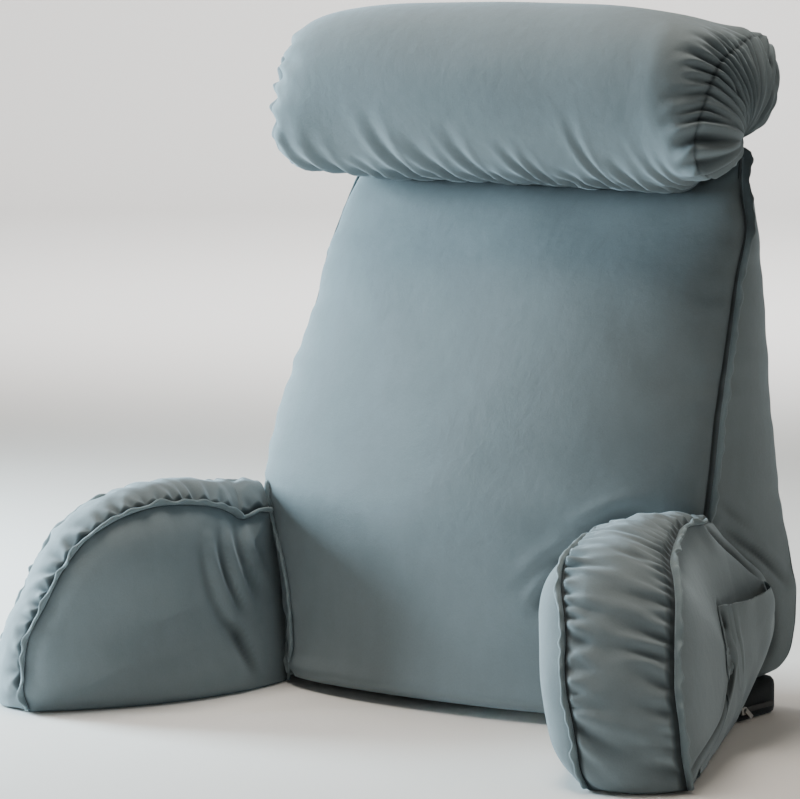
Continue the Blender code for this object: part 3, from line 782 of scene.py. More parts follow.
@dataclass(frozen=True)
class PaleFloor:
    """The plain pale floor under the pillow."""

    name: str = "pale floor"
    tone: Point = (0.80, 0.785, 0.765)
    cloud: float = 0.6          # size of its faint clouds
    roughness: float = 0.9

    def create(self) -> bpy.types.Material:
        """Make the material.

        Returns:
            The material.
        """
        graph = Graph(self.name)
        graph.feed(graph.shader.inputs["Base Color"],
                   graph.mix(graph.noise(self.cloud, 2.0), colour(self.tone, 0.985),
                             colour(self.tone)))
        graph.shader.inputs["Roughness"].default_value = self.roughness
        return graph.material


# ------------------------------------------------------------------ pieces of the pillow

@dataclass
class Piece:
    """One sewn piece: its object and what it stands for."""

    item: bpy.types.Object
    node: str
    slot: str

    def settle(self, material: bpy.types.Material) -> None:
        """Dress the piece and let it stand for its solid."""
        self.item.data.materials.clear()
        self.item.data.materials.append(material)
        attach(self.item, "root")
        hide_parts(self.node)
        LOG.info("%s: %d faces", self.item.name, len(self.item.data.polygons))


@dataclass
class Back:
    """The wedge-shaped back: front panel, gusset and rear panel round one filling."""

    # Heights of the front and rear panels on one level, the front seams, how far the front
    # panel stands out, the rear seams, how far the rear panel and the gussets stand out, and
    # how far the top corners are drawn up.
    columns: tuple[str, ...] = ("front", "rear", "left_x", "left_y", "right_x", "right_y",
                                "crown", "rear_left", "rear_right", "rear_y", "rear_crown",
                                "gusset", "ear")
    levels: tuple[tuple[float, ...], ...] = (
        (0.009, 0.035, -0.205, 0.042, 0.210, 0.042, 0.034, -0.262, 0.266, 0.194, 0.010, 0.000, 0.0),
        (0.020, 0.042, -0.214, 0.049, 0.218, 0.049, 0.050, -0.272, 0.276, 0.205, 0.014, 0.006, 0.0),
        (0.040, 0.060, -0.223, 0.064, 0.227, 0.062, 0.060, -0.280, 0.283, 0.215, 0.018, 0.010, 0.0),
        (0.080, 0.095, -0.236, 0.076, 0.240, 0.074, 0.066, -0.284, 0.286, 0.220, 0.020, 0.012, 0.0),
        (0.120, 0.130, -0.246, 0.081, 0.250, 0.079, 0.067, -0.281, 0.284, 0.221, 0.020, 0.012, 0.0),
        (0.160, 0.165, -0.255, 0.082, 0.259, 0.080, 0.066, -0.275, 0.277, 0.220, 0.019, 0.011, 0.0),
        (0.205, 0.205, -0.263, 0.081, 0.265, 0.079, 0.064, -0.267, 0.268, 0.218, 0.018, 0.010, 0.0),
        (0.250, 0.250, -0.263, 0.092, 0.268, 0.086, 0.062, -0.259, 0.263, 0.216, 0.017, 0.009, 0.0),
        (0.300, 0.300, -0.255, 0.105, 0.267, 0.097, 0.059, -0.251, 0.258, 0.214, 0.016, 0.008, 0.0),
        (0.345, 0.345, -0.248, 0.120, 0.265, 0.112, 0.055, -0.244, 0.256, 0.212, 0.015, 0.007, 0.0),
        (0.390, 0.390, -0.243, 0.139, 0.262, 0.128, 0.050, -0.239, 0.252, 0.211, 0.014, 0.006, 0.0),
        (0.435, 0.435, -0.242, 0.156, 0.258, 0.146, 0.044, -0.233, 0.247, 0.210, 0.013, 0.005, 0.0),
        (0.475, 0.477, -0.236, 0.176, 0.254, 0.168, 0.036, -0.226, 0.240, 0.209, 0.012, 0.004,
         0.004),
        (0.500, 0.505, -0.228, 0.187, 0.243, 0.179, 0.026, -0.220, 0.232, 0.212, 0.010, 0.003,
         0.010),
        (0.515, 0.522, -0.219, 0.196, 0.234, 0.192, 0.014, -0.213, 0.226, 0.217, 0.007, 0.002,
         0.020),
        (0.522, 0.530, -0.214, 0.204, 0.229, 0.203, 0.005, -0.208, 0.222, 0.220, 0.003, 0.001,
         0.026),
    )
    rows: int = 200
    front_points: int = 190
    side_points: int = 46
    rear_points: int = 84
    crown_share: float = 1.12
    ear_sharpness: float = 8.0
    seam_sink: float = 0.0046
    seam_width: float = 0.0065      # how far from a seam the cloth is drawn in
    painted_shade_width: float = 0.0046      # how far from a seam the shade is painted
    pucker: float = 0.0016
    pucker_reach: Pair = (0.006, 0.030)
    pucker_sizes: Pair = (0.022, 0.075)
    rear_share: float = 0.5         # strength of the rear seams
    closing_step: float = 0.004     # from a ring's last point back to its first
    dents: tuple[tuple[Ripple, float], ...] = ((Ripple(7, 0.16, 0.40), 0.0014),
                                               (Ripple(8, 0.05, 0.11), 0.0003))
    dents_start: Pair = (0.02, 0.08)
    dents_end: Pair = (0.50, 0.53)

    def level(self, places: np.ndarray) -> dict[str, np.ndarray]:
        """Sizes of the back at places between the rows of its table."""
        values = smooth_rows(np.array(self.levels), places)
        return dict(zip(self.columns, values.T))

    def even_places(self) -> np.ndarray:
        """Places in the table at even steps up the front seam."""
        dense = np.linspace(0.0, len(self.levels) - 1.0, 900)
        level = self.level(dense)
        run = run_along(np.column_stack([level["right_x"], level["right_y"],
                                         level["front"] + level["ear"]]))
        return np.interp(np.linspace(0.0, run[-1], self.rows), run, dense)

    def seam(self, side: Side) -> np.ndarray:
        """The seam down one side of the front panel, from the floor up."""
        level = self.level(self.even_places())
        return np.column_stack([level[side.word + "_x"], level[side.word + "_y"],
                                level["front"] + level["ear"]])

    def rings(self) -> np.ndarray:
        """Closed rings up the back: front panel, right side, rear panel, left side."""
        level = self.level(self.even_places())
        left = np.column_stack([level["left_x"], level["left_y"]])[:, None]
        right = np.column_stack([level["right_x"], level["right_y"]])[:, None]
        rear_left = np.column_stack([level["rear_left"], level["rear_y"]])[:, None]
        rear_right = np.column_stack([level["rear_right"], level["rear_y"]])[:, None]
        turn = math.pi * np.arange(self.front_points) / (self.front_points - 1)
        front = left + (right - left) * ((1 - np.cos(turn)) / 2)[None, :, None]
        front[..., 1] -= self.crown_share * level["crown"][:, None] * np.sin(turn)
        step = (1 - np.cos(math.pi * np.arange(1, self.side_points + 1)
                           / (self.side_points + 1))) / 2
        bow = np.sin(math.pi * step)[None] * level["gusset"][:, None]
        side_right = right + (rear_right - right) * step[None, :, None]
        side_right[..., 0] += bow
        side_left = rear_left + (left - rear_left) * step[None, :, None]
        side_left[..., 0] -= bow
        share = np.linspace(0.0, 1.0, self.rear_points)
        rear = rear_right + (rear_left - rear_right) * share[None, :, None]
        rear[..., 1] += level["rear_crown"][:, None] * np.sin(math.pi * share) ** 0.8
        plan = np.concatenate([front, side_right, rear, side_left], axis=1)
        depth = np.concatenate([np.zeros(self.front_points), step,
                                np.ones(self.rear_points), 1.0 - step])
        half = (level["right_x"] - level["left_x"])[:, None] / 2
        middle = (level["right_x"] + level["left_x"])[:, None] / 2
        corner = np.minimum(np.abs((plan[..., 0] - middle) / half), 1.0) ** self.ear_sharpness
        height = (level["front"][:, None] + (level["rear"] - level["front"])[:, None] * depth
                  + level["ear"][:, None] * corner)
        return np.dstack([plan, height])

    def seams(self, rings: np.ndarray) -> tuple[np.ndarray, np.ndarray]:
        """How far the four seams move the cloth out, and the painted shade along them."""
        run = np.cumsum(np.linalg.norm(np.diff(rings, axis=1, append=rings[:, :1]), axis=2),
                        axis=1)
        run = run - run[:, :1]
        total = run[:, -1:] + self.closing_step
        move, sunk = np.zeros(run.shape), np.zeros(run.shape)
        rear_right = self.front_points + self.side_points
        corners = (0, self.front_points - 1, rear_right, rear_right + self.rear_points - 1)
        pucker_start, pucker_end = self.pucker_reach
        for number, corner in enumerate(corners):
            gap = np.abs(run - run[:, corner:corner + 1])
            gap = np.minimum(gap, total - gap)
            wave = Ripple(40 + number, *self.pucker_sizes).at(rings[..., 2:])
            share = 1.0 if number < 2 else self.rear_share
            move -= share * self.seam_sink * np.exp(-(gap / self.seam_width) ** 1.3)
            move += (share * self.pucker * wave * np.exp(-(gap / pucker_end))
                     * (1 - np.exp(-(gap / pucker_start) ** 2)))
            # Painted shade along each seam.
            sunk += share * np.exp(-(gap / self.painted_shade_width) ** 2)
        return move, sunk

    def build(self) -> Piece:
        """Make the back with its drawn-in seams and soft dents."""
        rings = self.rings()
        move, sunk = self.seams(rings)
        height = rings[..., 2]
        soft = sum(ripple.at(rings) * size for ripple, size in self.dents)
        soft *= step_up(height, *self.dents_start) * (1.0 - step_up(height, *self.dents_end))
        rings = rings + grid_normals(rings) * (move + soft)[..., None]
        low = rings[0].mean(axis=0)
        low[2] = BasePanel().height(low[1])
        item = Form.loft("back_cushion_cloth", rings, low, rings[-1].mean(axis=0),
                         {"sunk": sunk})
        return Piece(item, "back_cushion", "slate_cloth")


def grid_normals(rings: np.ndarray) -> np.ndarray:
    """Outward directions at the points of closed rings.

    Args:
        rings: Places, shape (rings, points, 3).

    Returns:
        Unit directions of the same shape.
    """
    around = np.roll(rings, -1, axis=1) - np.roll(rings, 1, axis=1)
    up = np.gradient(rings, axis=0)
    facing = unit(np.cross(around, up))
    middle = rings.mean(axis=(0, 1))
    away = np.sum(facing * (rings - middle), axis=2)
    return facing * (1.0 if np.mean(away) > 0 else -1.0)


@dataclass
class Arm:
    """One D-shaped arm: inner panel, gathered boxing strip, outer panel, filled."""

    side: Side
    inner: tuple[Point, ...]
    outer: tuple[Point, ...]
    inner_swell: float
    bow: Pair                           # how far the inner floor edge bends in, and a power
    folds: tuple[Fold, ...]
    inner_gathers: Gathers
    outer_gathers: Gathers
    rear_inner: tuple[Point, ...] = ((0.222, 0.060, 0.000), (0.243, 0.090, 0.060),
                                     (0.256, 0.098, 0.120), (0.258, 0.086, 0.165))
    rear_outer: tuple[Point, ...] = ((0.279, 0.108, 0.000), (0.284, 0.126, 0.035),
                                     (0.286, 0.160, 0.072), (0.286, 0.168, 0.096),
                                     (0.285, 0.157, 0.138), (0.283, 0.116, 0.166),
                                     (0.280, 0.084, 0.188))
    outer_swell: float = 0.015
    strip_swell: float = 0.017
    strip_fullness: float = 0.62
    seam_sink: float = 0.0030
    seam_groove: Pair = (0.022, 0.018)  # its place and width across the strip
    seam_shades: tuple[float, ...] = (0.6, 1.0, 1.0, 1.0, 0.6)  # painted shade of the rings along a seam
    # Painted shade in the strip's gathers: its strength, then the depth at which it is full.
    gather_shade: float = 0.55
    gather_dark: float = 0.006          # depth at which a gather's painted shade is full
    gather_ends: Pair = (0.008, 0.02)   # how soon they start and end on the seam
    gather_margin: float = 0.09         # share of the strip over which they start
    crown: Pair = (2.4, 0.9)            # powers of the panels' roundness
    calming: Pair = (2.6, 1.5)          # how soon rings lose the seam's bends
    calm_reach: int = 90
    ring_crowding: float = 1.35         # more than 1 lays the rings closer near the seam
    rear_bare: int = 6                  # rear points at the top without painted shade
    arc_points: int = 330
    floor_points: int = 44
    rear_points: int = 46
    strip_rings: int = 34
    panel_rings: int = 44

    def outline(self, seam: tuple[Point, ...], rear: tuple[Point, ...],
                bow: Pair) -> np.ndarray:
        """Closed outline of one side: seam, floor edge and sewn-on rear edge."""
        sign = np.array((self.side.value, 1.0, 1.0))
        arc = even_line(seam, self.arc_points)
        edge = even_line(np.array(rear) * sign, self.rear_points)
        share = np.linspace(0.0, 1.0, self.floor_points + 2)[1:-1]
        floor = arc[-1] + (edge[0] - arc[-1]) * share[:, None]
        along = unit(edge[0] - arc[-1])
        inwards = np.array((-self.side.value, 0.0, 0.0))
        inwards = unit(inwards - along * np.dot(inwards, along))
        floor += inwards * (bow[0] * np.sin(math.pi * share) ** bow[1])[:, None]
        return np.vstack([arc, floor, edge])

    @staticmethod
    def centre(outline: np.ndarray) -> np.ndarray:
        """Centre of the area inside an outline."""
        middle = outline.mean(axis=0)
        after = np.roll(outline, -1, axis=0)
        areas = np.linalg.norm(np.cross(outline - middle, after - middle), axis=1)
        return ((outline + after + middle) / 3 * areas[:, None]).sum(axis=0) / areas.sum()

    def panel(self, outline: np.ndarray, centre: np.ndarray, way: np.ndarray,
              swell: float) -> np.ndarray:
        """Rings of a side panel from its seam to its middle, without the seam itself."""
        shares = 1.0 - (np.arange(1, self.panel_rings + 1)
                        / (self.panel_rings + 1)) ** self.ring_crowding
        calm = soften_closed(outline, self.calm_reach)
        steps = np.linalg.norm(np.roll(outline, -1, axis=0) - outline, axis=1)
        rings, depths = [], []
        for share in shares:
            blend = min(1.0, (1.0 - share) * self.calming[0]) ** self.calming[1]
            line = outline * (1.0 - blend) + calm * blend
            ring = centre + (line - centre) * share
            gaps = np.linalg.norm(ring[:, None] - outline[None], axis=2)
            rings.append(ring)
            depths.append((steps[None] / gaps ** 3).sum(axis=1) ** -0.5)
        full = np.array(depths)
        full = np.minimum(full / full.max(), 1.0)
        lift = swell * (1.0 - (1.0 - full) ** self.crown[0]) ** self.crown[1]
        return np.array(rings) + way * lift[..., None]

    def strip(self, inner: np.ndarray, outer: np.ndarray,
              centres: tuple[np.ndarray, np.ndarray]) -> tuple[np.ndarray, np.ndarray]:
        """The gathered boxing strip.

        Args:
            inner: Outline of the inner panel.
            outer: Outline of the outer panel.
            centres: Centres of the two panels.

        Returns:
            Rings from the inner to the outer seam, and the painted shade in the strip's gathers.
        """
        step = np.linspace(0.0, 1.0, self.strip_rings)
        step = 0.5 * step + 0.5 * (1 - np.cos(math.pi * step)) / 2
        rings = inner[None] + (outer - inner)[None] * step[:, None, None]
        centre = centres[0] + (centres[1] - centres[0]) * step[:, None]
        away = rings - centre[:, None]
        along = unit(np.roll(rings, -1, axis=1) - np.roll(rings, 1, axis=1))
        away = unit(away - along * np.sum(away * along, axis=2, keepdims=True))
        share = self.seam_share(len(inner))
        first, last = self.gather_ends
        fade = np.where(share <= 1.0, np.clip(np.minimum(share / first, (1.0 - share) / last),
                                              0.0, 1.0), 0.0)
        swell = self.strip_swell * np.sin(math.pi * step) ** self.strip_fullness
        along_seam = np.tile(np.clip(share, 0.0, 1.0), (self.strip_rings, 1))
        across = np.tile(step[:, None], (1, len(inner)))
        depth = (self.inner_gathers.at(along_seam, across)
                 + self.outer_gathers.at(along_seam, 1.0 - across))
        place, width = self.seam_groove
        groove = np.zeros(across.shape)
        for side_share in (across, 1.0 - across):
            depth *= step_up(side_share, 0.0, self.gather_margin)
            groove += self.seam_sink * np.exp(-((side_share - place) / width) ** 2)
        rings = rings + away * ((swell[:, None] - depth - groove) * fade)[..., None]
        return rings, np.clip(depth / self.gather_dark, 0.0, 1.0) * fade * self.gather_shade

    def seam_share(self, points: int) -> np.ndarray:
        """Share of the curved seam at each point of an outline, past 1 where it has ended."""
        return np.arange(points) / (self.arc_points - 1)

    def paint_seam_shade(self, sunk: np.ndarray) -> None:
        """Paint shade on the rings along both seams, and along the outer panel's sewn-on rear edge.
        """
        column = np.arange(sunk.shape[1])
        arc = self.seam_share(len(column)) <= 1.0
        rear = ((column >= self.arc_points + self.floor_points)
                & (column < len(column) - self.rear_bare))
        far = self.panel_rings + self.strip_rings - 1
        for step, shade in enumerate(self.seam_shades):
            for ring, sewn in ((self.panel_rings - 1 + step, arc), (far - 3 + step, arc | rear)):
                sunk[ring] = np.maximum(sunk[ring], shade * sewn)

    def build(self) -> Piece:
        """Make the arm with its gathers and drawn-in seams."""
        inner = self.outline(self.inner, self.rear_inner, self.bow)
        outer = self.outline(self.outer, self.rear_outer, (0.0, 1.0))
        centres = (self.centre(inner), self.centre(outer))
        way = level_way(centres[1] - centres[0])
        inner_panel = self.panel(inner, centres[0], -way, self.inner_swell)[::-1]
        outer_panel = self.panel(outer, centres[1], way, self.outer_swell)
        strip, shade = self.strip(inner, outer, centres)
        rings = np.concatenate([inner_panel, strip, outer_panel])
        rings[..., 2] = np.maximum(rings[..., 2], FLOOR)
        start, end = self.panel_rings, self.panel_rings + self.strip_rings
        sunk = np.zeros(rings.shape[:2])
        sunk[start:end] = shade
        self.paint_seam_shade(sunk)
        panel = np.ones(rings.shape[:2])
        panel[start - 3:end + 3] = 0.0
        item = Form.loft(self.side.word + "_arm_cloth", rings,
                         centres[0] - way * self.inner_swell,
                         centres[1] + way * self.outer_swell, {"sunk": sunk, "panel": panel})
        return Piece(item, self.side.word + "_arm", "slate_cloth")


@dataclass
class SeamEdge:
    """A raised seam edge: two turned-in layers of cloth that stand up, a little wavy."""

    name: str
    line: np.ndarray
    outward: np.ndarray
    width: float | np.ndarray = 0.0072
    thickness: float = 0.0028
    root: float = 0.0004            # how far its root stands off the line
    seed: int = 1
    sway: float = 0.0016
    sway_sizes: Pair = (0.016, 0.060)
    unevenness: float = 0.16        # of its width
    uneven_sizes: Pair = (0.012, 0.05)
    taper: float = 0.004            # length over which its ends narrow
    end_share: float = 0.35         # share of the width that is left at its ends
    lowest: float = 0.0008
    # Painted shade over the edge, one value or one for each point along it.
    shade: float | np.ndarray = 0.0
    profile: tuple[Pair, ...] = ((-0.30, 0.00), (-0.42, 0.30), (-0.50, 0.62), (-0.46, 0.88),
                                 (-0.22, 1.00), (0.22, 1.00), (0.46, 0.88), (0.50, 0.62),
                                 (0.42, 0.30), (0.30, 0.00))

    def build(self) -> Piece:
        """Make the edge."""
        line = self.line
        along = unit(np.gradient(line, axis=0))
        outward = unit(self.outward - along * np.sum(self.outward * along, axis=1, keepdims=True))
        across = np.cross(along, outward)
        run = run_along(line)
        sway = Ripple(self.seed, *self.sway_sizes).at(run[:, None]) * self.sway
        uneven = Ripple(self.seed + 9, *self.uneven_sizes).at(run[:, None])
        taper = np.minimum(1.0, np.minimum(run, run[-1] - run) / self.taper) ** 0.5
        width = (self.width * (1.0 + self.unevenness * uneven)
                 * (self.end_share + (1.0 - self.end_share) * taper))
        aside, up = np.array(self.profile).T
        reach = self.root + (width[:, None] - self.root) * up[None]
        lean = aside[None] * self.thickness + sway[:, None] * up[None] ** 1.5
        rings = (line[:, None] + outward[:, None] * reach[..., None]
                 + across[:, None] * lean[..., None])
        rings[..., 2] = np.maximum(rings[..., 2], self.lowest)
        sunk = np.zeros(rings.shape[:2]) + np.reshape(self.shade, (-1, 1))
        item = Form.loft(self.name + "_cloth", rings, rings[0].mean(axis=0),
                         rings[-1].mean(axis=0), {"sunk": sunk})
        return Piece(item, self.name, "seam_cloth")


@dataclass
class NeckRoll:
    """The neck roll: a gathered tube with two gathered ends.

    Each section is a place along X and eight radii round the roll, an eighth of a turn apart,
    from the rear over the top to the front and back underneath.
    """

    axis_y: float = 0.162
    axis_z: float = 0.611
    sections: tuple[tuple[float, ...], ...] = (
        (-0.262, 0.060, 0.055, 0.047, 0.056, 0.066, 0.093, 0.078, 0.052),
        (-0.250, 0.073, 0.068, 0.063, 0.073, 0.079, 0.098, 0.083, 0.058),
        (-0.225, 0.082, 0.079, 0.075, 0.083, 0.086, 0.097, 0.086, 0.072),
        (-0.180, 0.085, 0.085, 0.082, 0.087, 0.088, 0.093, 0.093, 0.100),
        (-0.100, 0.086, 0.087, 0.086, 0.088, 0.088, 0.091, 0.093, 0.106),
        (0.000, 0.086, 0.088, 0.088, 0.088, 0.088, 0.091, 0.094, 0.107),
        (0.100, 0.086, 0.087, 0.086, 0.088, 0.088, 0.092, 0.095, 0.106),
        (0.170, 0.084, 0.084, 0.079, 0.086, 0.087, 0.095, 0.096, 0.102),
        (0.205, 0.079, 0.081, 0.070, 0.083, 0.087, 0.099, 0.082, 0.053),
        (0.230, 0.067, 0.078, 0.060, 0.071, 0.080, 0.102, 0.059, 0.035),
        (0.246, 0.059, 0.072, 0.048, 0.047, 0.060, 0.102, 0.040, 0.024),
    )
    poles: tuple[Point, Point] = ((-0.268, 0.155, 0.575), (0.252, 0.160, 0.570))
    points: int = 336
    stations: int = 170
    end_rings: int = 42
    crowding: float = 0.4             # how much closer the body's rings lie near its ends
    end_swell: float = 0.20
    pleats: dict[Side, Gathers] = field(default_factory=lambda: {
        Side.LEFT: Gathers(11, 22, 0.0046, (0.018, 0.050), 0.24, slant=0.4, skew=1.6),
        Side.RIGHT: Gathers(12, 34, 0.0058, (0.018, 0.044), 0.18, slant=0.3)})
    bottom: Gathers = field(default_factory=lambda: Gathers(
        14, 26, 0.0050, (0.020, 0.125), 0.20, slant=-0.45, skew=1.45,
        crowding=((0.0, 0.9), (0.35, 0.8), (0.7, 1.1), (1.0, 1.2))))
    bottom_turn: float = 258.0        # where the folds along the underside start, in degrees
    bottom_radius: float = 0.088
    bottom_span: Pair = (-0.05, 0.12)  # how far round they may reach
    bottom_ends: tuple[Pair, Pair] = ((0.0, 0.04), (0.01, 0.10))  # where they fade
    # Painted shade in the underside's folds.
    bottom_shade: float = 0.35
    bottom_dark: float = 0.005        # depth at which their painted shade is full
    body_ease: float = 0.8            # share of the pleats' mean depth given back to the body
    end_ease: float = 0.5             # the same for the ends
    # The pleats of the ends: depth and width as shares of the body's, reach as a share of the
    # way to the gathered point, and the strength they keep there.
    end_pleats: Pair = (1.5, 1.1)
    end_reach: Pair = (1.2, 1.6)
    end_hollow: float = 0.4
    end_length: float = 0.075         # from the seam to the gathered point, about
    seam_sink: float = 0.0016
    seam_width: float = 0.0022
    # Painted shade: its strength along the end seams and the width it spreads, then its strength in
    # the pleats.
    seam_shade: float = 0.7
    painted_shade_width: float = 0.0014
    pleat_shade: float = 0.62
    pleat_dark: float = 0.0055        # depth at which a pleat's painted shade is full
    dents: Ripple = Ripple(21, 0.12, 0.30)
    dent_height: float = 0.0009

    def body(self) -> np.ndarray:
        """Rings along the roll, before its pleats."""
        table = np.array(self.sections)
        dense = np.linspace(0.0, len(table) - 1.0, 800)
        x = smooth_rows(table, dense)[:, 0]
        even = np.linspace(0.0, 1.0, self.stations)
        even = ((1 - self.crowding) * even
                + self.crowding * (1 - np.cos(math.pi * even)) / 2)
        places = np.interp(x[0] + (x[-1] - x[0]) * even, x, dense)
        rows = smooth_rows(table, places)
        radii = closed_values(rows[:, 1:], self.points)
        turn = math.tau * np.arange(self.points) / self.points
        return np.dstack([np.tile(rows[:, :1], (1, self.points)),
                          self.axis_y + radii * np.cos(turn),
                          self.axis_z + radii * np.sin(turn)])

    def end(self, ring: np.ndarray, side: Side) -> np.ndarray:
        """Rings of one end, from its seam to the gathered point."""
        pole = np.array(self.poles[0 if side is Side.LEFT else 1])
        share = 1.0 - (np.arange(1, self.end_rings + 1) / (self.end_rings + 1))
        away = ring - pole
        reach = np.linalg.norm(away, axis=1)
        rings = pole + away[None] * share[:, None, None]
        rings[..., 0] += (side.value * self.end_swell * reach[None]
                          * (4 * share * (1 - share))[:, None])
        return rings

    @staticmethod
    def gathered(gathers: Gathers, turn: np.ndarray, away: np.ndarray) -> np.ndarray:
        """How far gathers sink the cloth all the way round the roll."""
        return sum(gathers.at(turn + shift, away) for shift in (0.0, -1.0, 1.0))

    def end_seam(self, rings: np.ndarray, turn: np.ndarray,
                 side: Side) -> tuple[np.ndarray, np.ndarray]:
        """The seam at one end and the pleats on both sides of it.

        Args:
            rings: All rings of the roll.
            turn: Share of a full turn of each point.
            side: Which end.

        Returns:
            How far the cloth sinks, and the painted shade in its pleats and along its seam.
        """
        seam = self.end_rings if side is Side.LEFT else self.end_rings + self.stations - 1
        past = np.arange(len(rings))[:, None] - seam
        outside = past * side.value > 0
        inside_gap = np.abs(rings[..., 0] - rings[seam, 0, 0])
        beyond = np.abs(past) / self.end_rings
        gathers = self.pleats[side]
        pleat = self.gathered(gathers, turn, inside_gap)
        pleat -= self.body_ease * pleat.mean(axis=1, keepdims=True)
        pleat = np.where(outside, 0.0, pleat)
        ending = Gathers(gathers.seed, gathers.count, gathers.depth * self.end_pleats[0],
                         self.end_reach, gathers.width * self.end_pleats[1])
        tail = self.gathered(ending, turn, beyond)
        tail -= self.end_ease * tail.mean(axis=1, keepdims=True)
        kept = self.end_hollow + (1.0 - self.end_hollow) * (1.0 - beyond)
        tail = np.where(outside, tail * kept, 0.0)
        near = np.where(outside, beyond * self.end_length, inside_gap)
        depth = pleat + tail + self.seam_sink * np.exp(-(near / self.seam_width) ** 2)
        dark = (np.clip((pleat + tail) / self.pleat_dark, 0.0, 1.0) * self.pleat_shade
                + self.seam_shade * np.exp(-(near / self.painted_shade_width) ** 2))
        return depth, dark

    def underside(self, turn: np.ndarray, span: np.ndarray) -> np.ndarray:
        """How far the slanting folds along the underside sink it.

        Args:
            turn: Share of a full turn of each point.
            span: Share of the body's length at each point.

        Returns:
            Depths in metres.
        """
        over = (math.radians(self.bottom_turn) - turn * math.tau) * self.bottom_radius
        low, high = self.bottom_span
        under = self.bottom.at(span, np.maximum(over, 0.0))
        under = np.where((over > low) & (over < high), under, 0.0)
        start, end = self.bottom_ends
        return under * step_up(span, *start) * step_up(1.0 - span, *end)

    def build(self) -> Piece:
        """Make the roll with its pleats, end seams and soft dents."""
        body = self.body()
        rings = np.concatenate([self.end(body[0], Side.LEFT)[::-1], body,
                                self.end(body[-1], Side.RIGHT)])
        turn = np.tile(np.arange(self.points) / self.points, (len(rings), 1))
        start, end = body[0, 0, 0], body[-1, 0, 0]
        depth, sunk = np.zeros(turn.shape), np.zeros(turn.shape)
        for side in Side:
            seam_depth, dark = self.end_seam(rings, turn, side)
            depth += seam_depth
            sunk += dark
        under = self.underside(turn, (rings[..., 0] - start) / (end - start))
        depth += under
        sunk += np.clip(under / self.bottom_dark, 0.0, 1.0) * self.bottom_shade
        soft = self.dents.at(rings) * self.dent_height
        rings = rings + grid_normals(rings) * (soft - depth)[..., None]
        item = Form.loft("neck_roll_cloth", rings, np.array(self.poles[0]),
                         np.array(self.poles[1]), {"sunk": sunk})
        return Piece(item, "neck_roll", "slate_cloth")


@dataclass
class BasePanel:
    """The base panel that lies flat on the floor under the back; its near-black cloth is partly its
    own dark colour and partly painted shade under the back's bulge.
    """

    outline: tuple[Pair, ...] = ((0.000, 0.066), (0.110, 0.062), (0.196, 0.064), (0.279, 0.112),
                                 (0.2815, 0.188), (0.275, 0.1950), (0.000, 0.1950))
    points: int = 260
    corner_reach: int = 3           # points over which its corners are rounded
    inner_rings: int = 9
    inner_span: Pair = (0.12, 0.92)
    inset: float = 0.0006
    # Up the panel's edge: how far it is drawn in, and the share of its height.
    steps: tuple[Pair, ...] = ((0.0030, 0.0), (0.0008, 0.06), (0.0, 0.16), (0.0, 0.50),
                               (0.0, 0.80), (0.0008, 0.92), (0.0030, 1.0))
    # Y and height of the slanting upper side, at its front and its rear.
    front: Pair = (0.042, 0.009)
    rear: Pair = (0.194, 0.035)

    def height(self, y: np.ndarray) -> np.ndarray:
        """Height of the panel's upper side at a depth."""
        share = (y - self.front[0]) / (self.rear[0] - self.front[0])
        return self.front[1] + (self.rear[1] - self.front[1]) * share

    def build(self) -> Piece:
        """Make the panel with a softly rounded edge."""
        half = list(self.outline)
        corners = np.array(half + [(-x, y) for x, y in reversed(half[1:-1])])
        closed = np.vstack([corners, corners[:1]])
        run = run_along(closed)
        places = np.linspace(0.0, run[-1], self.points, endpoint=False)
        line = np.column_stack([np.interp(places, run, closed[:, axis]) for axis in range(2)])
        line = soften_closed(line, self.corner_reach)
        centre = line.mean(axis=0)
        inward = unit(centre - line)
        shares = np.linspace(*self.inner_span, self.inner_rings)
        inner = [centre + (line - centre) * share for share in shares]
        rings = [np.column_stack([ring, np.zeros(self.points)]) for ring in inner]
        for inset, share in self.steps:
            ring = line + inward * (inset + self.inset)
            rings.append(np.column_stack([ring, self.height(ring[:, 1]) * share]))
        rings += [np.column_stack([ring, self.height(ring[:, 1])]) for ring in reversed(inner)]
        low = np.array((*centre, 0.0))
        high = np.array((*centre, float(self.height(centre[1]))))
        item = Form.loft("base_panel_cloth", np.array(rings), low, high)
        return Piece(item, "base_panel", "dark_cloth")


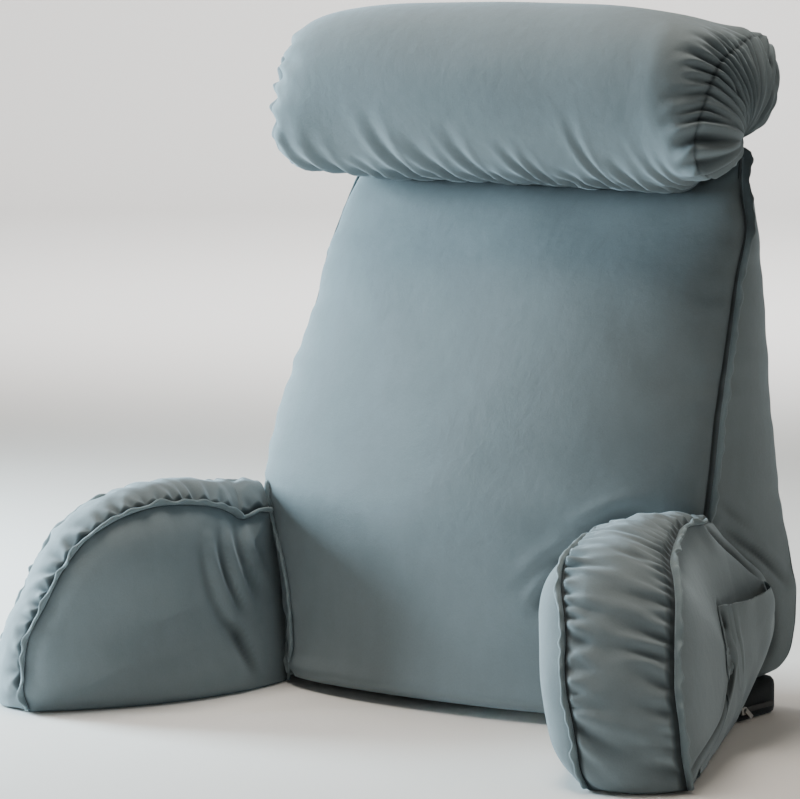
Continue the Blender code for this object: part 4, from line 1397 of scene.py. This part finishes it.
@dataclass
class Pocket:
    """The patch pocket on the right arm's outer panel, open at its mouth."""

    # Y and Z of its front and rear edges, from its lower tip up to its mouth.
    edges: tuple[tuple[Pair, Pair], ...] = (
        ((-0.1500, 0.0125), (-0.1500, 0.0040)),
        ((-0.1085, 0.0150), (-0.1050, 0.0035)),
        ((-0.0730, 0.0195), (-0.0600, 0.0030)),
        ((-0.0440, 0.0280), (-0.0100, 0.0030)),
        ((-0.0270, 0.0420), (0.0450, 0.0035)),
        ((-0.0190, 0.0560), (0.0920, 0.0080)),
        ((-0.0165, 0.0745), (0.1180, 0.0380)),
        ((-0.0155, 0.0930), (0.1410, 0.0680)),
        ((-0.0120, 0.1150), (0.1500, 0.0980)),
        ((-0.0070, 0.1360), (0.1390, 0.1370)),
    )
    sheet: float = 0.0020
    slack: float = 0.0015
    mouth: float = 0.0210           # how far its mouth stands open
    opening_start: float = 4.0      # row of its edges where it starts to stand open
    lift: float = 0.0008            # its height over the arm's cloth along its edges
    lowest: float = 0.0006
    dents: Ripple = Ripple(61, 0.035, 0.10)
    dent_height: float = 0.0016
    panel_x: float = 0.29           # where the arm's outer panel meets the back
    nearest_x: float = 0.27         # no part of the outer panel lies nearer the middle
    across: int = 96
    up: int = 150

    def spot(self, share: float, place: float, tree: BVHTree, way: np.ndarray) -> np.ndarray:
        """One place of the pocket.

        Args:
            share: Share of its width, from its front to its rear edge.
            place: Row of its edges, which may lie between rows.
            tree: Search tree of the arm.
            way: The level direction in which the arm's outer panel faces.

        Returns:
            The place, over the arm's cloth.
        """
        rows = np.array(self.edges).reshape(len(self.edges), 4)
        row = smooth_rows(rows, np.array([place]))[0]
        y, z = row[:2] + (row[2:] - row[:2]) * share
        start = self.opening_start
        opening = (max(0.0, place - start) / (len(rows) - 1 - start)) ** 1.6
        fullness = max(math.sin(math.pi * share), 0.0) ** 0.8
        hit = tree.ray_cast(Vector((1.0, y, z)), Vector((-1.0, 0.0, 0.0)))[0]
        if hit is None or hit[0] < self.nearest_x:
            hit = tree.find_nearest(Vector((self.panel_x, y, z)))[0]
        reach = (self.slack + (self.mouth - self.slack) * opening) * fullness + self.lift
        reach += self.dent_height * float(self.dents.at(np.array([[y, z]]))[0]) * fullness
        return np.array(hit) + way * max(reach, self.lowest)

    def build(self, arm: bpy.types.Object, way: np.ndarray) -> Piece:
        """Make the pocket over the arm's outer panel.

        Args:
            arm: The arm it is sewn to.
            way: The level direction in which the arm's outer panel faces.

        Returns:
            The piece.
        """
        tree = Form.tree(arm)
        bm = bmesh.new()
        bmesh.ops.create_grid(bm, x_segments=self.across, y_segments=self.up, size=1.0)
        for vert in bm.verts:
            place = (vert.co.y + 1.0) / 2.0 * (len(self.edges) - 1)
            vert.co = self.spot((vert.co.x + 1.0) / 2.0, place, tree, way)
        bmesh.ops.solidify(bm, geom=bm.faces, thickness=-self.sheet)
        item = Form.finish("pocket_cloth", bm)
        return Piece(item, "pocket", "slate_cloth")


# ------------------------------------------------------------------ light and floor

@dataclass(frozen=True)
class Lamp:
    """A soft square light."""

    name: str
    place: Point
    target: Point
    size: float
    power: float
    tone: Point = (1.0, 1.0, 1.0)
    spread: float = 180.0

    def create(self) -> None:
        """Make the light and aim it."""
        data = bpy.data.lights.new(self.name, "AREA")
        data.energy = self.power
        data.size = self.size
        data.color = self.tone
        data.spread = math.radians(self.spread)
        lamp = bpy.data.objects.new(self.name, data)
        bpy.context.scene.collection.objects.link(lamp)
        lamp.location = self.place
        way = Vector(self.target) - Vector(self.place)
        lamp.rotation_euler = way.to_track_quat("-Z", "Y").to_euler()


@dataclass
class Studio:
    """A plain pale floor that runs up into a plain backdrop, and soft lights."""

    background: Point = (1.0, 0.93, 0.84)
    background_strength: float = 0.03
    lamps: tuple[Lamp, ...] = (
        Lamp("key", (-1.86, -0.26, 0.70), (0.0, 0.0, 0.3), 0.7, 130.0, (0.70, 0.90, 1.0)),
        Lamp("top", (-0.6, 0.10, 2.9), (0.0, -0.05, 0.2), 1.2, 76.0, (1.0, 0.92, 0.82)),
        Lamp("rear top", (-1.1, 1.1, 2.5), (0.0, 0.0, 0.2), 1.4, 10.0),
        Lamp("low", (-1.9, -1.5, 0.30), (-0.16, -0.15, -0.05), 0.4, 0.8, (0.80, 0.93, 1.0), 22.0),
        Lamp("fill", (1.4, 0.9, 2.6), (0.0, 0.0, 0.2), 1.2, 8.0, (1.0, 0.86, 0.70)),
        Lamp("backdrop", (-1.6, 2.6, 3.2), (-3.4, 6.0, 0.9), 2.6, 330.0, spread=150.0),
    )
    floor_size: float = 7.0
    drop: float = 0.0004            # how far the floor lies under the pillow
    bend_steps: int = 9             # strips between the floor and the wall
    bend_angle: float = 9.0         # between two strips, in degrees
    bend_width: float = 0.16        # of one strip
    wall_height: float = 4.0

    def floor(self) -> bpy.types.Object:
        """Make the floor with the bend and the wall round it."""
        bm = bmesh.new()
        bmesh.ops.create_circle(bm, cap_ends=True, segments=96, radius=self.floor_size)
        rim = [edge for edge in bm.edges if edge.is_boundary]
        for turn in range(1, self.bend_steps + 1):
            angle = math.radians(self.bend_angle * turn)
            rise = math.sin(angle) * self.bend_width if turn < self.bend_steps else self.wall_height
            made = bmesh.ops.extrude_edge_only(bm, edges=rim)["geom"]
            rim = [part for part in made if isinstance(part, bmesh.types.BMEdge)]
            for vert in {vert for edge in rim for vert in edge.verts}:
                out = vert.co.xy.normalized() * math.cos(angle) * self.bend_width
                vert.co += Vector((out.x, out.y, rise))
        floor = Form.finish("floor", bm)
        if floor.data.polygons[0].normal.z < 0:
            floor.data.flip_normals()
        floor.data.transform(Matrix.Translation((0.0, 0.0, -self.drop)))
        floor.data.materials.append(PaleFloor().create())
        return floor

    def create(self) -> None:
        """Make the floor, the background and the lights."""
        floor = self.floor()
        world = bpy.data.worlds.new("studio")
        world.use_nodes = True
        back = world.node_tree.nodes["Background"]
        back.inputs["Color"].default_value = (*self.background, 1.0)
        back.inputs["Strength"].default_value = self.background_strength
        bpy.context.scene.world = world
        for lamp in self.lamps:
            lamp.create()


# ------------------------------------------------------------------ the whole pillow

# The arms' curved seams, from the back over the top and down the front to the floor.
RIGHT_INNER: tuple[Point, ...] = (
    (0.241, 0.052, 0.172), (0.240, 0.020, 0.188), (0.236, -0.020, 0.201),
    (0.233, -0.060, 0.207), (0.233, -0.084, 0.206), (0.240, -0.120, 0.200),
    (0.250, -0.157, 0.191), (0.264, -0.184, 0.172), (0.277, -0.200, 0.151),
    (0.286, -0.211, 0.131), (0.292, -0.222, 0.111), (0.299, -0.231, 0.090),
    (0.309, -0.237, 0.065), (0.316, -0.240, 0.043), (0.320, -0.239, 0.019),
    (0.325, -0.231, 0.000))
RIGHT_OUTER: tuple[Point, ...] = (
    (0.277, 0.066, 0.205), (0.285, 0.035, 0.208), (0.291, -0.012, 0.210),
    (0.301, -0.040, 0.204), (0.316, -0.072, 0.199), (0.332, -0.103, 0.191),
    (0.348, -0.124, 0.180), (0.361, -0.142, 0.162), (0.369, -0.156, 0.141),
    (0.373, -0.163, 0.126), (0.378, -0.171, 0.110), (0.385, -0.182, 0.088),
    (0.394, -0.189, 0.059), (0.398, -0.191, 0.033), (0.401, -0.188, 0.011),
    (0.400, -0.183, 0.000))
LEFT_INNER: tuple[Point, ...] = (
    (-0.241, 0.050, 0.174), (-0.243, 0.028, 0.177), (-0.246, 0.008, 0.1715),
    (-0.248, -0.009, 0.180), (-0.249, -0.031, 0.188), (-0.255, -0.070, 0.195),
    (-0.264, -0.110, 0.197), (-0.275, -0.145, 0.191), (-0.286, -0.174, 0.179),
    (-0.296, -0.189, 0.166), (-0.307, -0.210, 0.138), (-0.316, -0.224, 0.107),
    (-0.326, -0.238, 0.076), (-0.330, -0.241, 0.043), (-0.331, -0.241, 0.020),
    (-0.329, -0.234, 0.000))
LEFT_OUTER: tuple[Point, ...] = (
    (-0.277, 0.066, 0.197), (-0.285, 0.035, 0.200), (-0.295, -0.012, 0.203),
    (-0.306, -0.045, 0.206), (-0.320, -0.080, 0.203), (-0.337, -0.110, 0.194),
    (-0.352, -0.130, 0.181), (-0.364, -0.146, 0.162), (-0.372, -0.160, 0.138),
    (-0.378, -0.170, 0.114), (-0.385, -0.178, 0.094), (-0.391, -0.184, 0.074),
    (-0.396, -0.188, 0.052), (-0.399, -0.190, 0.030), (-0.401, -0.189, 0.011),
    (-0.400, -0.184, 0.000))

# Soft folds of the left arm's inner panel near the back, as the photograph shows them.
LEFT_FOLDS: tuple[Fold, ...] = (
    Fold(((209.0, 540.0), (213.0, 562.0), (221.0, 588.0), (236.0, 624.0)), 0.0078, -0.0050, 0.4),
    Fold(((226.0, 526.0), (231.0, 554.0), (240.0, 582.0), (254.0, 610.0)), 0.0074, -0.0052, 0.4),
    Fold(((243.0, 522.0), (249.0, 546.0), (258.0, 568.0), (268.0, 588.0)), 0.0074, -0.0040, 0.3),
    Fold(((226.0, 612.0), (241.0, 643.0), (258.0, 676.0)), 0.0110, 0.0034),
)

# Soft creases of the back beside the right arm.
BACK_FOLDS: tuple[Fold, ...] = (
    Fold(((724.0, 528.0), (741.0, 541.0), (762.0, 557.0), (786.0, 582.0)), 0.0060, 0.0036),
    Fold(((718.0, 500.0), (738.0, 520.0), (760.0, 540.0)), 0.0060, 0.0016),
    Fold(((650.0, 512.0), (622.0, 516.0), (600.0, 526.0), (572.0, 540.0)), 0.0090, 0.0026),
    Fold(((566.0, 572.0), (550.0, 588.0), (536.0, 612.0)), 0.0085, 0.0034),
    Fold(((592.0, 546.0), (568.0, 556.0), (544.0, 570.0), (524.0, 590.0)), 0.0085, 0.0024),
    # A shallow groove whose painted shade stands for the right arm's contact shadow on the back's
    # gusset.
    Fold(((766.0, 578.0), (772.0, 596.0), (774.0, 622.0), (773.0, 644.0), (765.0, 664.0),
          (752.0, 688.0)), 0.0050, 0.0034, 0.0),
)

# Lines where the pocket is sewn to the right arm, and the crease at its own left side.
# Their painted shade stands for the shadow in the gaps along these lines.
RIGHT_FOLDS: tuple[Fold, ...] = (
    Fold(((717.5, 604.0), (722.0, 625.0), (727.5, 653.0), (729.0, 676.0), (725.5, 703.0),
          (718.5, 727.0), (702.0, 756.0), (688.0, 777.0)), 0.0040, 0.0062, 0.25),
    Fold(((706.0, 526.0), (721.0, 541.5), (735.0, 554.0), (749.0, 567.0), (760.0, 577.0)),
         0.0036, 0.0062, 0.0),
)
POCKET_FOLDS: tuple[Fold, ...] = (
    Fold(((730.0, 606.0), (735.5, 634.0), (740.0, 658.0), (742.0, 680.0)), 0.0042, 0.0036, 0.5),
)

# The pocket's own edge where it is sewn down, a shallow groove given painted shade to look dark.
POCKET_EDGE: tuple[Fold, ...] = (
    Fold(((720.0, 607.0), (724.5, 630.0), (729.5, 655.0), (731.0, 678.0), (728.0, 704.0),
          (720.5, 729.0), (704.0, 758.0), (691.0, 777.0)), 0.0038, 0.0011, 0.0),
)

# Root of the raised edge that shows where the left arm meets the back.
LEFT_JOINT: tuple[Pixel, ...] = (
    (267.5, 480.0), (271.0, 502.0), (275.5, 528.0), (281.0, 549.0), (286.5, 575.0),
    (290.5, 605.0), (292.5, 638.0), (291.5, 664.0), (289.5, 684.0))


@dataclass
class ReadingPillow:
    """The whole pillow: back, base, two arms, neck roll, seam edges and pocket."""

    camera: PhotoCamera
    back: Back = field(default_factory=Back)
    base: BasePanel = field(default_factory=BasePanel)
    roll: NeckRoll = field(default_factory=NeckRoll)
    pocket: Pocket = field(default_factory=Pocket)
    edge_points: int = 300
    # The ways in which the front edges stand out, low down and further up.
    front_ways: dict[Side, tuple[Point, Point]] = field(default_factory=lambda: {
        Side.LEFT: ((-0.5, -1.0, 0.0), (-0.45, 1.0, 0.0)),
        Side.RIGHT: ((1.0, -0.1, 0.0), (1.0, -0.1, 0.0))})
    front_heights: Pair = (0.17, 0.24)
    front_width: float = 0.0072
    # The right one's turned-up corner: places past the seam, the share of the edge and the
    # heights over which it turns up, its way there, how much wider it is, and the painted shade
    # on it where it turns away from the light.
    ear: tuple[Point, ...] = ((0.224, 0.203, 0.548), (0.214, 0.203, 0.541), (0.200, 0.202, 0.532))
    ear_turn: Pair = (0.925, 0.965)
    ear_heights: Pair = (0.455, 0.485)
    ear_way: Point = (0.15, -0.1, 1.0)
    ear_width: float = 0.0030
    ear_shade: float = 0.8
    # The arms' edges: the height from which they point away, how much they do so beside
    # pointing sideways, how many points are left out at their start, and their widths.
    arm_middle: float = 0.05
    arm_outward: float = 0.75
    arm_starts: dict[str, int] = field(default_factory=lambda: {"right_arm_seam_outer": 22})
    arm_widths: dict[str, float] = field(default_factory=lambda: {"right_arm_seam_inner": 0.0060})
    arm_width: float = 0.0082
    joint_points: int = 60
    joint_reach: int = 6            # points over which its depth is evened out
    joint_nearer: float = 0.001     # how far its root lies in front of the cloth
    joint_lean: float = 0.35        # to the viewer's left
    panel_rounds: int = 14          # of softening, where an arm's panel was pressed in
    pocket_dark: float = 0.0005     # depth at which the painted shade on its own edge is full

    def __post_init__(self) -> None:
        """Set out the two arms."""
        self.arms = {
            Side.RIGHT: Arm(
                Side.RIGHT, RIGHT_INNER, RIGHT_OUTER, inner_swell=0.045, bow=(0.042, 1.25),
                folds=RIGHT_FOLDS,
                inner_gathers=Gathers(31, 30, 0.0066, (0.26, 0.72), 0.24, slant=0.05, crowding=(
                    (0.0, 0.9), (0.3, 1.3), (0.6, 1.0), (1.0, 0.55))),
                outer_gathers=Gathers(32, 28, 0.0066, (0.26, 0.72), 0.24, slant=-0.04, crowding=(
                    (0.0, 0.9), (0.4, 1.3), (0.7, 1.0), (1.0, 0.55)))),
            Side.LEFT: Arm(
                Side.LEFT, LEFT_INNER, LEFT_OUTER, inner_swell=0.036, bow=(0.042, 0.75),
                folds=LEFT_FOLDS,
                inner_gathers=Gathers(33, 26, 0.0058, (0.22, 0.75), 0.24, slant=0.02),
                outer_gathers=Gathers(34, 24, 0.0058, (0.22, 0.75), 0.24, slant=-0.02)),
        }

    def front_edge(self, side: Side) -> Piece:
        """The raised edge down one side of the front panel."""
        seam = self.back.seam(side)
        if side is Side.RIGHT:
            seam = np.vstack([seam, self.ear])
        line = even_line(seam, self.edge_points)
        low, high = (np.array(way) for way in self.front_ways[side])
        outward = low + (high - low) * step_up(line[:, 2:], *self.front_heights)
        ear_part = step_up(line[:, 2], *self.ear_heights) * (side is Side.RIGHT)
        if side is Side.RIGHT:
            turn = step_up(np.linspace(0.0, 1.0, len(line))[:, None], *self.ear_turn)
            outward = outward * (1.0 - turn) + np.array(self.ear_way) * turn
        # The right edge's upper end is wider and carries painted shade.
        return SeamEdge("front_seam_" + side.word, line, outward,
                        self.front_width + self.ear_width * ear_part, seed=50,
                        shade=self.ear_shade * ear_part).build()

    def joint_edge(self, *touching: bpy.types.Object) -> Piece:
        """The raised edge that shows where the left arm meets the back."""
        eye = Vector(self.camera.position)
        trees = [Form.tree(item) for item in touching]
        pixels = even_line(np.array(LEFT_JOINT), self.joint_points)
        places, depths = [], []
        for place, pixel in enumerate(pixels):
            hits = [tree.ray_cast(eye, self.camera.ray(tuple(pixel))) for tree in trees]
            hits = [hit for hit in hits if hit[0] is not None]
            if hits:
                places.append(place)
                depths.append(min(hits, key=lambda hit: hit[3])[0].y)
        depth = np.interp(np.arange(len(pixels)), places, depths)
        window = 2 * self.joint_reach + 1
        depth = np.convolve(np.pad(depth, self.joint_reach, mode="edge"),
                            np.ones(window) / window, mode="valid")
        line = np.array([self.camera.at_depth(tuple(pixel), y - self.joint_nearer)
                         for pixel, y in zip(pixels, depth)])
        forward, right, _ = self.camera.ways()
        outward = np.tile(-forward - self.joint_lean * right, (len(line), 1))
        return SeamEdge("joint_edge", line, outward, 0.0060, 0.0030, sway=0.0008, seed=77).build()

    def arm_edge(self, side: Side, word: str, seam: tuple[Point, ...],
                 other: tuple[Point, ...]) -> Piece:
        """The raised edge along one curved seam of an arm, away from the arm's other seam."""
        line = even_line(seam, self.edge_points)
        middle = line.mean(axis=0)
        middle[2] = self.arm_middle
        outward = (unit(line - middle) * self.arm_outward
                   + level_way(line - even_line(other, self.edge_points)))
        name = side.word + "_arm_seam_" + word
        first = self.arm_starts.get(name, 0)
        return SeamEdge(name, line[first:-2], outward[first:-2],
                        width=self.arm_widths.get(name, self.arm_width),
                        thickness=0.0034, sway=0.0024, seed=len(name)).build()

    def pressed_arm(self, side: Side, back: Piece, *others: Piece) -> Piece:
        """One arm with its folds, pressed clear of the back and the other neighbours."""
        piece = self.arms[side].build()
        for other in (back, *others):
            Form.press_out(piece.item, other.item, SEAM_GAP)
        Form.soften(piece.item, "panel", self.panel_rounds)
        Form.press_out(piece.item, back.item, SEAM_GAP)
        press_folds(piece.item, self.arms[side].folds, self.camera)
        return piece

    def arm_edges(self, side: Side, piece: Piece, back: Piece) -> list[Piece]:
        """The raised edges along both seams of an arm, pressed clear of it and the back."""
        arm = self.arms[side]
        edges = [self.arm_edge(side, "inner", arm.inner, arm.outer),
                 self.arm_edge(side, "outer", arm.outer, arm.inner)]
        for edge in edges:
            Form.press_out(edge.item, piece.item, ARM_EDGE_GAP)
            Form.press_out(edge.item, back.item, SEAM_GAP)
        return edges

    def creased_pocket(self, piece: Piece) -> Piece:
        """The pocket on the right arm, pressed clear of it and creased."""
        arm = self.arms[Side.RIGHT]
        way = level_way(np.array(arm.outer).mean(axis=0) - np.array(arm.inner).mean(axis=0))
        pocket = self.pocket.build(piece.item, way)
        Form.press_out(pocket.item, piece.item, EDGE_GAP)
        press_folds(pocket.item, POCKET_FOLDS, self.camera)
        press_folds(pocket.item, POCKET_EDGE, self.camera, self.pocket_dark)
        return pocket

    def build(self) -> None:
        """Make every piece, press each against its neighbours and dress it."""
        slate = BrushedCloth("slate brushed cloth", (0.175, 0.212, 0.227)).create()
        arm_slate = BrushedCloth("slate arm cloth", (0.194, 0.234, 0.250)).create()
        edge_cloth = BrushedCloth("seam edge cloth", (0.200, 0.248, 0.264), sheen=0.4).create()
        # Near-black base cloth: partly the base's own dark colour, partly painted shade under the
        # back's bulge.
        dark = BrushedCloth("dark base cloth", (0.020, 0.023, 0.026), sheen=0.2).create()
        back = self.back.build()
        press_folds(back.item, BACK_FOLDS, self.camera)
        base = self.base.build()
        Form.press_out(base.item, back.item, SEAM_GAP)
        fronts = {side: self.front_edge(side) for side in Side}
        for edge in fronts.values():
            Form.press_out(edge.item, back.item, EDGE_GAP)
        arms = {}
        edges = list(fronts.values())
        for side in self.arms:
            arms[side] = self.pressed_arm(side, back, base, fronts[side])
            edges += self.arm_edges(side, arms[side], back)
            if side is Side.RIGHT:
                self.creased_pocket(arms[side]).settle(arm_slate)
        joint = self.joint_edge(arms[Side.LEFT].item, back.item)
        Form.join(fronts[Side.LEFT].item, joint.item)
        roll = self.roll.build()
        for other in (back, *fronts.values()):
            Form.press_out(roll.item, other.item, SEAM_GAP)
        padded = [(back, slate, 0.8), (base, dark, 0.9)]
        padded += [(arm, arm_slate, 0.75) for arm in arms.values()]
        padded.append((roll, slate, 0.8))
        for piece, cloth, fill in padded:
            piece.settle(cloth)
        for edge in edges:
            edge.settle(edge_cloth)


def main() -> None:
    """Load the solids, build the looks round them and set up the photograph's view."""
    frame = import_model()
    camera = PhotoCamera()
    camera.create()
    pillow = ReadingPillow(camera)
    pillow.build()
    metal = ZipMetal("zip metal", (0.62, 0.62, 0.61)).create()
    chain = ZipMetal("zip chain", (0.05, 0.052, 0.055), 0.5, 0.6).create()
    for node, finish in (("zip_chain", chain), ("zip_slider", metal), ("zip_pull", metal)):
        item = frame["nodes"][node]
        item.data.materials.clear()
        item.data.materials.append(finish)
    Studio().create()


if __name__ == "__main__":
    main()
